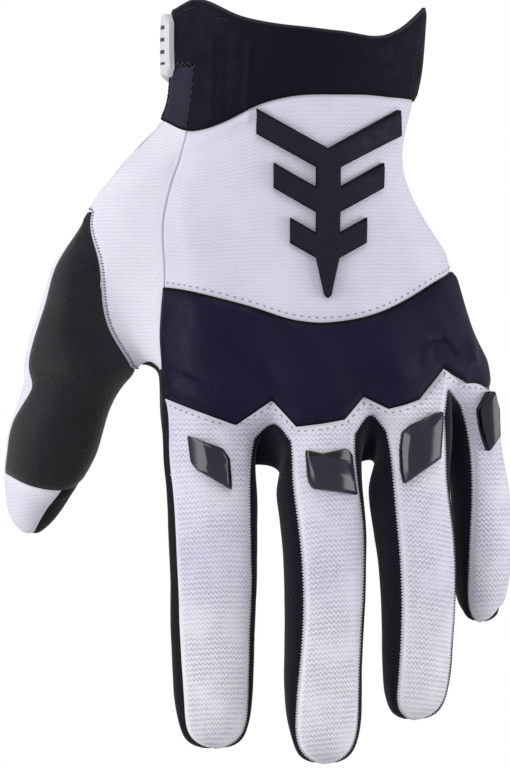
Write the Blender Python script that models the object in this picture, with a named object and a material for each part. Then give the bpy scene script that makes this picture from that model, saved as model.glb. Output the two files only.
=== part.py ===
"""A left hand's mountain bike glove, held up as the hand in it would hold it.

The wrist opening is at the top and the fingers point down. The back of the hand faces -Y, the thumb
is at -X and the little finger at +X. The origin is the middle of the wrist opening.

One cage of quads runs over the whole glove: a wrist tube that splits into a thumb and a hand, and a
hand that splits into four fingers. A smooth skin is fitted through its points. Each sewn panel is a
patch of that skin with its own wall thickness, and the rubber pieces sit on it.
"""

import math

import bpy
import numpy as np
from mathutils import Vector
from mathutils.bvhtree import BVHTree

MM = 0.001  # the sizes below are in millimetres

# Driving sizes of the hand and the cuff
CUFF_WIDTH = 76.0
CUFF_DEPTH = 54.0
CUFF_HEIGHT = 23.5
HAND_WIDTH = 96.0
HAND_LENGTH = 93.0
HAND_DEPTH = 31.0
THUMB_CROTCH_DROP = 75.0  # from the cuff's lower seam down to the fork of the thumb
WEB_SLOPE = 14.0  # how much lower a finger fork is on the palm side
THUMB_WEB_SLOPE = 3.0
THUMB_WEB_LIFT = 2.5  # how far the web of the thumb stands above the thumb and the hand beside it
HAND_SIDE_BULGE = 1.0  # how far the index finger's side stands out at the fork of the thumb

# Driving sizes of the fingers, from the fork to the tip
INDEX_LENGTH = 94.0
INDEX_WIDTH = 25.0
INDEX_DEPTH = 22.0
MIDDLE_LENGTH = 98.0
MIDDLE_WIDTH = 24.0
MIDDLE_DEPTH = 22.0
RING_LENGTH = 88.0
RING_WIDTH = 22.4
RING_DEPTH = 20.5
LITTLE_LENGTH = 66.0
LITTLE_WIDTH = 17.2
LITTLE_DEPTH = 17.5
THUMB_LENGTH = 51.0
THUMB_WIDTH = 27.0
THUMB_DEPTH = 25.0
FINGER_CURL = 13.0  # how far a fingertip bends towards the palm

# Walls and seams
KNIT_WALL = 1.3
LEATHER_WALL = 1.2
BAND_WALL = 2.4
BAND_PROUD = 0.7
CUFF_WALL = 2.8
CUFF_PROUD = 0.8
PANEL_PROUD = 0.4
SEAM_GAP = 0.3

# Each panel's wall, by how its name starts: how far it stands proud, how thick it is, its material
WALLS = {
    "cuff": (CUFF_PROUD, CUFF_WALL, "neoprene"),
    "knuckle_band": (BAND_PROUD, BAND_WALL, "neoprene"),
    "thumb_panel": (PANEL_PROUD, LEATHER_WALL, "leather"),
    "palm": (0.0, LEATHER_WALL, "leather"),
    "thumb_palm": (0.0, LEATHER_WALL, "leather"),
    "finger_palm": (0.0, LEATHER_WALL, "leather"),
    "fourchette": (0.0, KNIT_WALL, "fourchette"),
    "": (0.0, KNIT_WALL, "knit"),
}

# Rubber pieces and the strap
SEAT_GAP = 0.45
GUARD_HEIGHT = 2.6
GUARD_BEVEL = 1.3
BADGE_HEIGHT = 1.8
BADGE_BAR = 7.5
STRAP_HEIGHT = 16.0
STRAP_WALL = 1.8
TAB_HEIGHT = 18.5
TAB_WALL = 2.0

FINGER_NAMES = ("index", "middle", "ring", "little")
LETTERS = {"thumb": "T", "index": "I", "middle": "M", "ring": "R", "little": "L"}
WEBS = ("B", "C", "D")  # between the four fingers; A is the thumb's
THUMB_COLUMNS = ["T0", "T1", "T2", "A"]
HAND_COLUMNS = [f"{letter}{n}" for letter in "IMRL" for n in range(3)]
for web, place in zip(WEBS, (3, 7, 11)):
    HAND_COLUMNS.insert(place, web)
BACK_COLUMNS = THUMB_COLUMNS + HAND_COLUMNS
# How far each fork stands above its fingers' ends, on the back and in the middle, and how far back:
# shares of HAND_LENGTH.
WEB_LIFTS = {"B": (0.080, 0.043, 0.0), "C": (0.077, 0.039, 0.0), "D": (0.100, 0.043, 0.027)}

# Angle of each column round the oval wrist: 0 is the back of the hand, -90 the thumb side.
WRIST_ANGLES = dict(
    zip(BACK_COLUMNS, (-80, -74, -68, -61, -54, -46, -38, -30, -22, -13, -4, 5, 14, 23, 33, 43, 54, 65, 77)),
    SL=-94,
    SR=90,
)

# Each row crosses the hand. back_seam and right are shares of HAND_WIDTH from the origin. The drops
# are shares of HAND_LENGTH below the cuff's lower seam, at the left edge, the back seam, the index
# finger, the middle finger, the ring finger and the right edge. spread is 0 where the columns stand
# as at the wrist and 1 where they stand as at the knuckles. depth is a share of the depth there, and
# palm_drop is the palm side's drop in the middle.
ROW_NAMES = ("back_seam", "right", "drops", "spread", "depth", "palm_drop")
ROWS = {
    "neck": (-0.390, 0.317, (0.175, 0.205, 0.165, 0.14, 0.14, 0.145), 0.10, 0.97, 0.15),
    "heel": (-0.421, 0.355, (0.325, 0.345, 0.32, 0.31, 0.31, 0.295), 0.30, 0.98, 0.31),
    "back": (-0.424, 0.436, (0.465, 0.455, 0.475, 0.49, 0.475, 0.43), 0.52, 1.0, 0.46),
    "band_top": (-0.421, 0.465, (0.60, 0.565, 0.612, 0.676, 0.645, 0.515), 0.72, 1.0, 0.60),
    "band_middle": (-0.429, 0.522, (0.72, 0.70, 0.755, 0.80, 0.775, 0.705), 0.88, 1.02, 0.75),
}

# The ball of the thumb: how far it pushes the palm out next to the thumb's root, shares of HAND_DEPTH.
THUMB_BALL = {"I0": 0.30, "I1": 0.20, "I2": 0.11, "B": 0.05, "M0": 0.02}
BALL_SHARES = {"neck": 0.3, "heel": 0.75, "back": 1.0, "band_top": 0.95, "band_middle": 0.7}

# The thumb's root in each row: where each column stands across, a share of HAND_WIDTH, and back or
# forth, a share of HAND_DEPTH. The last four columns are those of the palm side.
ROOT_NAMES = ("SL", "T0", "T1", "T2", "A", "T0 palm", "T1 palm", "T2 palm", "A palm")
THUMB_ROOT = {
    "neck": (
        (-0.550, 0.14), (-0.550, 0.02), (-0.541, -0.10), (-0.521, -0.22), (-0.463, -0.36),
        (-0.536, 0.23), (-0.515, 0.32), (-0.475, 0.46), (-0.418, 0.58),
    ),
    "heel": (
        (-0.628, 0.27), (-0.640, 0.16), (-0.647, 0.06), (-0.646, -0.04), (-0.548, -0.26),
        (-0.606, 0.38), (-0.575, 0.49), (-0.528, 0.60), (-0.470, 0.67),
    ),
    "back": (
        (-0.744, 0.30), (-0.738, 0.14), (-0.700, -0.04), (-0.624, -0.06), (-0.524, -0.20),
        (-0.726, 0.45), (-0.680, 0.59), (-0.601, 0.69), (-0.512, 0.71),
    ),
    "band_top": (
        (-0.790, 0.36), (-0.782, 0.17), (-0.712, -0.06), (-0.611, 0.01), (-0.517, -0.12),
        (-0.764, 0.56), (-0.701, 0.73), (-0.616, 0.78), (-0.512, 0.72),
    ),
    "band_middle": (
        (-0.828, 0.41), (-0.818, 0.21), (-0.716, -0.05), (-0.586, 0.11), (-0.512, 0.01),
        (-0.796, 0.66), (-0.707, 0.83), (-0.601, 0.78), (-0.507, 0.66),
    ),
}

# Where the hand is at the band's lower edge, a share of HAND_WIDTH from the origin, how far that edge
# drops, a share of HAND_LENGTH, and the back and palm faces there, as shares of HAND_DEPTH.
KNUCKLES = {
    "I0": (-0.420, 0.914, -0.20, 0.26),
    "I1": (-0.306, 0.960, -0.50, 0.38),
    "I2": (-0.196, 1.000, -0.545, 0.42),
    "B": (-0.086, 0.921, -0.53, 0.42),
    "M0": (-0.012, 1.006, -0.565, 0.42),
    "M1": (0.060, 0.997, -0.60, 0.42),
    "M2": (0.136, 0.984, -0.575, 0.43),
    "C": (0.194, 0.911, -0.51, 0.45),
    "R0": (0.270, 0.949, -0.49, 0.49),
    "R1": (0.318, 0.936, -0.48, 0.52),
    "R2": (0.366, 0.917, -0.41, 0.55),
    "D": (0.440, 0.819, -0.26, 0.60),
    "L0": (0.512, 0.870, -0.14, 0.63),
    "L1": (0.552, 0.868, 0.02, 0.62),
    "L2": (0.576, 0.880, 0.20, 0.55),
}
RIGHT_EDGE = (0.580, 0.895, 0.38)  # across, drop and depth shares of the side point there

# Each finger: where its fork end is (across and back shares of the hand, drop share of its length),
# its roll towards the little finger, and stations along it. A station's share is of the length, wide
# and deep are shares of its width and depth, lean is a share of its width, curl of FINGER_CURL, and
# the two seams of the back panel are in degrees from straight back.
STATION_NAMES = ("share", "wide", "deep", "lean", "curl", "seam_left", "seam_right")
PALM_SEAM = 52  # the palm side's two seams, in degrees from straight to the palm
PALM_SEAM_MOST = 150  # the most that the right one may be round from straight back
FINGERS = {
    "index": dict(
        length=INDEX_LENGTH, width=INDEX_WIDTH, depth=INDEX_DEPTH,
        across=-0.284, back=-0.10, drop=1.025, roll=4,
        stations=(
            (0.00, 1.00, 1.20, 0.000, 0.00, -74, 76),
            (0.14, 1.05, 1.10, 0.047, 0.02, -66, 62),
            (0.33, 1.035, 1.02, 0.065, 0.12, -60, 63),
            (0.53, 1.00, 1.00, 0.065, 0.34, -57, 67),
            (0.72, 0.965, 0.97, 0.060, 0.62, -52, 66),
            (0.865, 0.89, 0.88, 0.065, 0.84, -52, 70),
            (0.955, 0.68, 0.66, 0.076, 0.96, -58, 70),
        ),
    ),
    "middle": dict(
        length=MIDDLE_LENGTH, width=MIDDLE_WIDTH, depth=MIDDLE_DEPTH,
        across=0.064, back=-0.16, drop=1.030, roll=14,
        stations=(
            (0.00, 1.00, 1.20, 0.000, 0.00, -52, 52),
            (0.12, 1.06, 1.10, -0.020, 0.02, -38, 66),
            (0.30, 1.04, 1.02, 0.030, 0.12, -34, 80),
            (0.50, 1.00, 1.00, 0.045, 0.34, -30, 78),
            (0.70, 0.96, 0.97, 0.027, 0.62, -36, 74),
            (0.86, 0.90, 0.88, 0.037, 0.84, -50, 73),
            (0.955, 0.68, 0.66, 0.050, 0.96, -60, 70),
        ),
    ),
    "ring": dict(
        length=RING_LENGTH, width=RING_WIDTH, depth=RING_DEPTH,
        across=0.350, back=-0.05, drop=1.000, roll=22,
        stations=(
            (0.00, 1.00, 1.20, 0.000, 0.00, -44, 50),
            (0.15, 1.07, 1.10, -0.060, 0.02, -24, 70),
            (0.33, 1.08, 1.02, -0.013, 0.12, -21, 82),
            (0.53, 1.02, 1.00, 0.055, 0.34, -24, 86),
            (0.73, 0.95, 0.97, 0.050, 0.62, -27, 84),
            (0.87, 0.88, 0.88, 0.040, 0.84, -33, 82),
            (0.955, 0.68, 0.66, 0.025, 0.96, -40, 78),
        ),
    ),
    "little": dict(
        length=LITTLE_LENGTH, width=LITTLE_WIDTH, depth=LITTLE_DEPTH,
        across=0.520, back=0.35, drop=0.925, roll=46,
        stations=(
            (0.00, 0.88, 1.12, 0.000, 0.00, -14, 78),
            (0.18, 0.97, 1.04, 0.060, 0.02, -8, 78),
            (0.40, 1.02, 1.00, 0.190, 0.14, -16, 78),
            (0.61, 1.02, 1.00, 0.240, 0.38, -25, 76),
            (0.79, 0.94, 0.95, 0.240, 0.68, -31, 74),
            (0.93, 0.69, 0.68, 0.220, 0.92, -36, 72),
        ),
    ),
    "thumb": dict(
        length=THUMB_LENGTH, width=THUMB_WIDTH, depth=THUMB_DEPTH,
        across=-0.680, back=0.42, drop=0.0, roll=0,
        stations=(
            (0.00, 1.16, 1.12, 0.000, 0.00, -84, 82),
            (0.14, 1.06, 1.06, -0.115, 0.04, -50, 64),
            (0.32, 1.02, 1.00, -0.224, 0.14, -84, 46),
            (0.52, 0.985, 0.98, -0.306, 0.30, -86, 40),
            (0.68, 0.83, 0.90, -0.405, 0.50, -86, 32),
            (0.84, 0.61, 0.72, -0.490, 0.74, -74, 30),
            (0.945, 0.35, 0.46, -0.530, 0.92, -66, 24),
        ),
    ),
}
STRAIGHT_ROWS = ("rim", "cuff_middle", "neck", "back")
STRAIGHT_STATIONS = (3, 4)  # the same for a digit's stations
THUMB_PANEL_END = 4  # the station where the thumb's black panel stops
THUMB_PANEL_SLANT = (-0.05, 0.02, 0.06)  # how its lower edge slants, shares of THUMB_LENGTH

# The cuff's three rows: a share of CUFF_HEIGHT above the lower seam at each of CUFF_KNOTS; then width,
# depth and a shift across, as shares of CUFF_WIDTH and CUFF_DEPTH, and the palm side's height in the
# middle.
CUFF_ROWS = {
    "rim": (
        (1.25, 1.37, 1.26, 1.17, 1.06, 1.00, 0.945, 0.91, 1.00, 1.125, 1.28),
        0.975, 1.00, -0.006, 0.92,
    ),
    "cuff_middle": (
        (0.56, 0.55, 0.51, 0.50, 0.55, 0.58, 0.56, 0.55, 0.60, 0.69, 0.65),
        0.97, 0.94, -0.016, 0.50,
    ),
    "cuff_seam": (
        (-0.13, -0.28, -0.243, -0.174, 0.04, 0.153, 0.165, 0.159, 0.14, 0.128, 0.12),
        0.98, 0.90, -0.048, 0.00,
    ),
}
CUFF_KNOTS = ("SL", "I0", "I2", "B", "M1", "C", "R1", "D", "L0", "L1", "SR")

# The outlines of the knuckle guards. turn is how far the guard faces round from straight back, in
# degrees. A corner is its distance across from the finger's middle, a share of the finger's width,
# and its drop, a share of HAND_LENGTH below the cuff's lower seam.
GUARDS = {
    "index": dict(
        turn=0,
        corners=(
            (-0.242, 1.032), (0.171, 1.073), (0.242, 1.105),
            (0.242, 1.206), (-0.159, 1.143), (-0.230, 1.117),
        ),
    ),
    "middle": dict(
        turn=21,
        corners=(
            (-0.352, 1.078), (-0.177, 1.089), (0.149, 1.073), (0.242, 1.095),
            (0.305, 1.222), (-0.266, 1.202), (-0.308, 1.182),
        ),
    ),
    "ring": dict(
        turn=15,
        corners=(
            (-0.294, 1.022), (-0.211, 1.000), (0.121, 0.962), (0.243, 0.956),
            (0.275, 1.105), (-0.235, 1.187), (-0.294, 1.079),
        ),
    ),
    "little": dict(
        turn=32,
        corners=(
            (-0.030, 0.895), (-0.180, 0.952), (-0.160, 1.016), (-0.090, 1.086),
            (0.190, 1.035), (0.220, 0.950), (0.110, 0.892),
        ),
    ),
}
GUARD_EDGE_STEPS = 2
GUARD_RINGS = (1.0, 0.6, 0.25)

# The badge on the back of the hand: stacked chevrons on a spine. For each, its half width and how far
# its outer end rises above its point, shares of HAND_WIDTH, and its point's drop, of HAND_LENGTH.
BADGE_ACROSS = 0.083
BADGE_SPINE = 0.036
BADGE_TIP_DROP = 0.600
CHEVRONS = ((0.215, 0.120, 0.127), (0.165, 0.095, 0.270), (0.115, 0.065, 0.413))
ARM_STEPS = 5

# The strap on the cuff and the tab at its end, in degrees round the cuff from straight back. A tab's
# column is its angle and its height, a share of TAB_HEIGHT. The strap's middle lies at these angles a
# share of CUFF_HEIGHT below the wrist opening.
STRAP_ANGLES = (-119, -225)
STRAP_STEPS = 14
TAB_COLUMNS = ((-78, 0.72), (-82, 1.0), (-90, 1.0), (-98, 1.0), (-106, 1.0), (-114, 0.9), (-117, 0.8))
STRAP_DROPS = ((-90, 0.205), (-150, 0.494), (-230, 0.511))

COLOURS = {
    "knit": ((0.80, 0.79, 0.88), 0.85, 0.0),
    "leather": ((0.020, 0.019, 0.022), 0.62, 0.0),
    "neoprene": ((0.012, 0.010, 0.020), 0.55, 0.0),
    "fourchette": ((0.012, 0.011, 0.018), 0.90, 0.0),
    "rubber": ((0.035, 0.033, 0.045), 0.30, 0.0),
    "tab": ((0.86, 0.86, 0.90), 0.40, 0.0),
}


def named(names, row):
    return dict(zip(names, row))


def blend(a, b, share):
    return a + (b - a) * share


def hermite(x, knots, values):
    """A smooth curve through (knots, values), flat beyond its ends."""
    knots, values = np.asarray(knots, float), np.asarray(values, float)
    slopes = np.gradient(values, knots)
    x = min(max(x, knots[0]), knots[-1])
    i = min(int(np.searchsorted(knots, x, side="right")) - 1, len(knots) - 2)
    h = knots[i + 1] - knots[i]
    t = (x - knots[i]) / h
    return (
        (2 * t**3 - 3 * t**2 + 1) * values[i]
        + (t**3 - 2 * t**2 + t) * h * slopes[i]
        + (3 * t**2 - 2 * t**3) * values[i + 1]
        + (t**3 - t**2) * h * slopes[i + 1]
    )


def oval(centre, half_width, half_depth, roll, angle):
    """The point of an oval at an angle from straight back, where the oval itself is turned by roll."""
    local, turn = math.radians(angle - roll), math.radians(roll)
    across, back = half_width * math.sin(local), half_depth * math.cos(local)
    return np.array(
        [
            centre[0] + across * math.cos(turn) + back * math.sin(turn),
            centre[1] + across * math.sin(turn) - back * math.cos(turn),
            centre[2],
        ]
    )


def seam_height(drop):
    """The height of a row that lies drop times the hand's length below the cuff's lower seam."""
    return -CUFF_HEIGHT - drop * HAND_LENGTH


class Cage:
    """Quads between named points. Each quad has the name of the panel that it belongs to."""

    def __init__(self):
        self.index, self.points, self.quads, self.panels = {}, [], [], []
        self.straight = []  # for each quad, whether it is straight enough down its length to stay whole
        self.corners = []  # the points where the knuckle band's lower edge turns sharply

    def put(self, key, point):
        self.index[key] = len(self.points)
        self.points.append(np.array(point, float))

    def at(self, key):
        return self.points[self.index[key]]

    def quad(self, panel, *keys, straight=False):
        self.quads.append([self.index[k] for k in keys])
        self.panels.append(panel)
        self.straight.append(straight)


def finger_centre(finger, station):
    f = FINGERS[finger]
    base_drop = THUMB_CROTCH_DROP if finger == "thumb" else f["drop"] * HAND_LENGTH
    return np.array(
        [
            f["across"] * HAND_WIDTH + station["lean"] * f["width"],
            f["back"] * HAND_DEPTH + station["curl"] * FINGER_CURL,
            -CUFF_HEIGHT - base_drop - station["share"] * f["length"],
        ]
    )


def finger_ring(finger, number):
    """The eight points of a finger's ring: its back panel's two seams and middle, the two sides' middles,
    and the same on the palm side."""
    f = FINGERS[finger]
    s = named(STATION_NAMES, f["stations"][number])
    centre = finger_centre(finger, s)
    left, right, roll = s["seam_left"], s["seam_right"], f["roll"]
    palm_left, palm_right = roll - 180 + PALM_SEAM, min(roll + 180 - PALM_SEAM, PALM_SEAM_MOST)
    angles = {
        "0": left,
        "1": (left + right) / 2,
        "2": right,
        "right": (right + palm_right) / 2,
        "2p": palm_right,
        "1p": roll + 180,
        "0p": palm_left,
        "left": (left + palm_left) / 2,
    }
    slope = THUMB_WEB_SLOPE if finger == "thumb" else WEB_SLOPE
    sink = slope * max(0.0, 1 - s["share"] / 0.30)
    ring = {}
    for name, angle in angles.items():
        point = oval(centre, s["wide"] * f["width"] / 2, s["deep"] * f["depth"] / 2, roll, angle)
        point[2] -= sink * (1 - math.cos(math.radians(angle - roll))) / 2
        ring[name] = point
    if finger == "thumb" and number == THUMB_PANEL_END:
        for name, slant in zip(("0", "1", "2"), THUMB_PANEL_SLANT):
            ring[name][2] -= slant * THUMB_LENGTH
    return ring


def wrist_point(name, palm, width, depth, shift):
    angle = WRIST_ANGLES[name]
    x = shift * CUFF_WIDTH + width * CUFF_WIDTH / 2 * math.sin(math.radians(angle))
    y = depth * CUFF_DEPTH / 2 * math.cos(math.radians(angle))
    return x, (y if palm else -y)


def ring_keys():
    """The columns right round the hand, from the thumb's edge over the back and round by the palm."""
    return (
        [("SL", False)]
        + [(name, False) for name in BACK_COLUMNS]
        + [("SR", False)]
        + [(name, True) for name in reversed(BACK_COLUMNS)]
    )


def put_cuff(cage):
    for row, (heights, width, depth, shift, palm_height) in CUFF_ROWS.items():
        for name, palm in ring_keys():
            x, y = wrist_point(name, palm, width, depth, shift)
            knots = [wrist_point(k, False, width, depth, shift)[0] for k in CUFF_KNOTS]
            height = hermite(x, knots, heights)
            if palm:
                share = abs(y) / (depth * CUFF_DEPTH / 2)
                height = blend(height, palm_height, share)
            cage.put((row, name, palm), (x, y, -CUFF_HEIGHT + height * CUFF_HEIGHT))


def knuckle_faces(name):
    across, drop, back, palm = KNUCKLES[name]
    return across * HAND_WIDTH, drop, back * HAND_DEPTH, palm * HAND_DEPTH


def put_hand_rows(cage):
    """The rows between the cuff and the fork of the thumb: the wrist's oval turns into the knuckles'
    section, with the thumb's root at its left."""
    knuckle_left = KNUCKLES["I0"][0] * HAND_WIDTH
    knuckle_right = RIGHT_EDGE[0] * HAND_WIDTH
    _, width, depth, shift, _ = CUFF_ROWS["cuff_seam"]
    wrist_left = wrist_point("I0", False, width, depth, shift)[0]
    wrist_right = wrist_point("SR", False, width, depth, shift)[0]
    for row, values in ROWS.items():
        r = named(ROW_NAMES, values)
        root = named(ROOT_NAMES, THUMB_ROOT[row])
        left, back_seam, right = (s * HAND_WIDTH for s in (root["SL"][0], r["back_seam"], r["right"]))
        knots = [left, back_seam] + [blend(back_seam, right, s) for s in (0.25, 0.5, 0.75)] + [right]
        for name, palm in ring_keys():
            wrist_x, wrist_y = wrist_point(name, palm, width, depth, shift)
            if name in HAND_COLUMNS or name == "SR":
                if name == "SR":
                    knuckle_x, knuckle_y = knuckle_right, RIGHT_EDGE[2] * HAND_DEPTH
                else:
                    knuckle_x, _, back, face = knuckle_faces(name)
                    knuckle_y = face if palm else back
                at_wrist = (wrist_x - wrist_left) / (wrist_right - wrist_left)
                at_knuckle = (knuckle_x - knuckle_left) / (knuckle_right - knuckle_left)
                x = blend(back_seam, right, blend(at_wrist, at_knuckle, r["spread"]))
                y = blend(wrist_y, knuckle_y, r["spread"]) * r["depth"]
                if palm:
                    y += THUMB_BALL.get(name, 0.0) * BALL_SHARES[row] * HAND_DEPTH
            else:
                across, back = root[name + " palm" if palm else name]
                x, y = across * HAND_WIDTH, back * HAND_DEPTH
            height = seam_height(hermite(x, knots, r["drops"]))
            if palm:
                height = blend(height, seam_height(r["palm_drop"]), 0.7)
            cage.put((row, name, palm), (x, y, height))


def put_thumb_fork(cage, thumb_ring):
    """The row at the fork of the thumb, with the web's middle point between the two palms."""
    names = {"SL": "left", "T0": "0", "T1": "1", "T2": "2"}
    for name, side in names.items():
        cage.put(("fork", name, False), thumb_ring[side])
        if name != "SL":
            cage.put(("fork", name, True), thumb_ring[side + "p"])
    fork = -CUFF_HEIGHT - THUMB_CROTCH_DROP
    for name in HAND_COLUMNS:
        x, drop, back, face = knuckle_faces(name)
        x = blend(x, cage.at(("band_middle", name, False))[0], 0.35)
        above = cage.at(("band_middle", name, False))[2]
        cage.put(("fork", name, False), (x, back, blend(above, seam_height(drop), 0.55)))
        cage.put(("fork", name, True), (x, face, blend(fork, seam_height(0.87), 0.5)))
    x, drop, y = RIGHT_EDGE[0] * HAND_WIDTH, RIGHT_EDGE[1], RIGHT_EDGE[2] * HAND_DEPTH
    above = cage.at(("band_middle", "SR", False))[2]
    cage.put(("fork", "SR", False), (x * 0.985, y, blend(above, seam_height(drop), 0.5)))
    for palm in (False, True):
        a, b = cage.at(("fork", "T2", palm)), cage.at(("fork", "I0", palm))
        cage.put(("fork", "A", palm), blend(a, b, 0.5) + np.array([0, 0, THUMB_WEB_LIFT]))
    thumb_side = thumb_ring["right"]
    hand_side = (cage.at(("fork", "I0", False)) + cage.at(("fork", "I0", True))) / 2
    cage.put(("fork", "thumb_side", False), thumb_side)
    cage.put(("fork", "hand_side", False), hand_side - np.array([HAND_SIDE_BULGE, 0, 0]))
    web = blend(thumb_side, hand_side, 0.5)
    cage.put(("fork", "A_middle", False), web + np.array([0, 0, THUMB_WEB_LIFT]))


def put_band_foot(cage):
    for name in HAND_COLUMNS:
        x, drop, back, face = knuckle_faces(name)
        cage.put(("band_foot", name, False), (x, back, seam_height(drop)))
        cage.put(("band_foot", name, True), (x, face, seam_height(blend(drop, 1.0, 0.6))))
    x, drop, y = RIGHT_EDGE[0] * HAND_WIDTH, RIGHT_EDGE[1], RIGHT_EDGE[2] * HAND_DEPTH
    cage.put(("band_foot", "SR", False), (x, y, seam_height(drop)))
    side_x, side_y, _ = cage.at(("fork", "hand_side", False))
    cage.put(("band_foot", "hand_side", False), (side_x + HAND_SIDE_BULGE / 2, side_y, seam_height(0.95)))


def put_finger_forks(cage, rings):
    """The row where the hand ends: each finger's first ring, and between two of them the web's nine
    points, of which the middle row lies deepest between the fingers."""
    for finger in FINGER_NAMES:
        letter, ring = LETTERS[finger], rings[finger][0]
        for number in "012":
            cage.put(("webs", letter + number, False), ring[number])
            cage.put(("webs", letter + number, True), ring[number + "p"])
        cage.put(("webs", letter + "left", False), ring["left"])
        cage.put(("webs", letter + "right", False), ring["right"])
    for web, (a, b) in zip(WEBS, zip("IMR", "MRL")):
        back_lift, lift, outwards = (share * HAND_LENGTH for share in WEB_LIFTS[web])
        back = (cage.at(("webs", a + "2", False)) + cage.at(("webs", b + "0", False))) / 2
        face = (cage.at(("webs", a + "2", True)) + cage.at(("webs", b + "0", True))) / 2
        middle = (cage.at(("webs", a + "right", False)) + cage.at(("webs", b + "left", False))) / 2
        cage.put(("webs", web, False), back + np.array([0, -outwards, back_lift]))
        cage.put(("webs", web, True), face + np.array([0, 0, lift / 2]))
        cage.put(("webs", web + "_middle", False), middle + np.array([0, 0, lift]))


def put_fingers(cage, rings):
    for finger, stations in rings.items():
        for number, ring in enumerate(stations[1:], 1):
            for name, point in ring.items():
                cage.put((finger, number, name), point)
        tip = dict(named(STATION_NAMES, FINGERS[finger]["stations"][-1]))
        tip["share"], tip["curl"] = 1.0, 1.0
        cage.put((finger, "tip"), finger_centre(finger, tip))


def finger_at(left):
    """The finger above which a quad on the hand lies, from its left column."""
    columns = ["side"] + HAND_COLUMNS + ["SR"]
    return FINGER_NAMES[columns.index(left) // 4]


def back_panel(row, left):
    """The panel that a quad on the back belongs to, from the row above it and its left column."""
    on_thumb = left in ("SL", "T0", "T1")
    if row == "rim" or (row == "cuff_middle" and left not in THUMB_COLUMNS + ["SL"]):
        return "cuff"
    if row == "cuff_middle":
        return "cuff_gusset"
    if on_thumb:
        if row in ("cuff_seam", "neck"):
            return "thumb_gusset"
        return "thumb_back" if left == "SL" else "thumb_panel"
    if left in ("T2", "A"):
        return "thumb_gusset"
    if row in ("cuff_seam", "neck", "heel", "back"):
        return "hand_back"
    if row in ("band_top", "band_middle", "fork"):
        return "knuckle_band"
    return f"finger_back_{finger_at(left)}"


def palm_panel(row, left):
    if row in ("rim", "cuff_middle"):
        return "cuff"
    if left in ("SL", "T0", "T1") and row not in ("cuff_seam", "neck"):
        return "thumb_palm"
    return "palm"


def join_hand(cage):
    """Quads between the rows, from the rim down to the fork of the thumb."""
    rows = list(CUFF_ROWS) + list(ROWS) + ["fork"]
    back = ["SL"] + BACK_COLUMNS + ["SR"]
    for upper, lower in zip(rows, rows[1:]):
        for left, right in zip(back, back[1:]):
            corner = [(upper, left), (lower, left), (lower, right), (upper, right)]
            straight = upper in STRAIGHT_ROWS
            cage.quad(back_panel(upper, left), *[(*key, False) for key in corner], straight=straight)
            palm = [(row, name, name not in ("SL", "SR")) for row, name in reversed(corner)]
            cage.quad(palm_panel(upper, left), *palm, straight=straight)


def side_key(row, name, palm):
    """The name in the cage of a point of this row, where both sides' ends have names of their own."""
    if name == "side":
        return (row, "Ileft" if row == "webs" else "hand_side", False)
    if name == "SR":
        return (row, "Lright" if row == "webs" else "SR", False)
    return (row, name, palm)


def join_forked_hand(cage):
    """Quads below the fork of the thumb: round the hand down to the webs."""
    rows = ["fork", "band_foot", "webs"]
    back = ["side"] + HAND_COLUMNS + ["SR"]
    for upper, lower in zip(rows, rows[1:]):
        for left, right in zip(back, back[1:]):
            panel = "palm" if left == "side" else back_panel(upper, left)
            corner = [(upper, left), (lower, left), (lower, right), (upper, right)]
            cage.quad(panel, *[side_key(row, name, False) for row, name in corner])
            cage.quad("palm", *[side_key(row, name, True) for row, name in reversed(corner)])


def join_web(cage, row, a, b, web, side_a, side_b, back_name, palm_name):
    """The web between two digits: two by two quads from the back to the palm."""
    backs = [(row, a + "2", False), (row, web, False), (row, b + "0", False)]
    middles = [(row, side_a, False), (row, web + "_middle", False), (row, side_b, False)]
    palms = [(row, a + "2", True), (row, web, True), (row, b + "0", True)]
    for upper, lower, panel in ((backs, middles, back_name), (middles, palms, palm_name)):
        for i in range(2):
            cage.quad(panel, upper[i], lower[i], lower[i + 1], upper[i + 1])


def digit_panels(finger):
    """The panels of a digit's eight strips, from its back's left half and round by its right side."""
    if finger == "thumb":
        return ["thumb_panel"] * 3 + ["thumb_palm"] * 3 + ["thumb_palm", "thumb_back"]
    number = FINGER_NAMES.index(finger)
    back, palm = f"finger_back_{finger}", f"finger_palm_{finger}"
    left = palm if number == 0 else f"fourchette_{FINGER_NAMES[number - 1]}_{finger}"
    if finger == "little":
        return [back] * 3 + [palm] * 3 + [left] * 2
    right = f"fourchette_{finger}_{FINGER_NAMES[number + 1]}"
    return [back] * 2 + [right] * 2 + [palm] * 2 + [left] * 2


def join_digit(cage, finger, first_keys):
    """Quads down a digit from its first ring to its tip, which four quads close."""
    names = ["0", "1", "2", "right", "2p", "1p", "0p", "left"]
    stations = len(FINGERS[finger]["stations"])
    rings = [first_keys] + [[(finger, n, name) for name in names] for n in range(1, stations)]
    for number, (upper, lower) in enumerate(zip(rings, rings[1:]), 1):
        panels = digit_panels(finger)
        if finger == "thumb" and number > THUMB_PANEL_END:
            panels = ["thumb_back"] * 2 + ["thumb_palm"] * 5 + ["thumb_back"]
        for i, panel in enumerate(panels):
            j = (i + 1) % 8
            straight = number in STRAIGHT_STATIONS
            cage.quad(panel, upper[i], lower[i], lower[j], upper[j], straight=straight)
    last, tip = rings[-1], (finger, "tip")
    ends = digit_panels(finger)
    if finger == "little":
        ends[2] = ends[3]
    if finger == "thumb":
        ends = ["thumb_back"] * 2 + ["thumb_palm"] * 4 + ["thumb_back"] * 2
    for i in range(0, 8, 2):
        cage.quad(ends[i], last[i], tip, last[(i + 2) % 8], last[i + 1])


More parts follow.
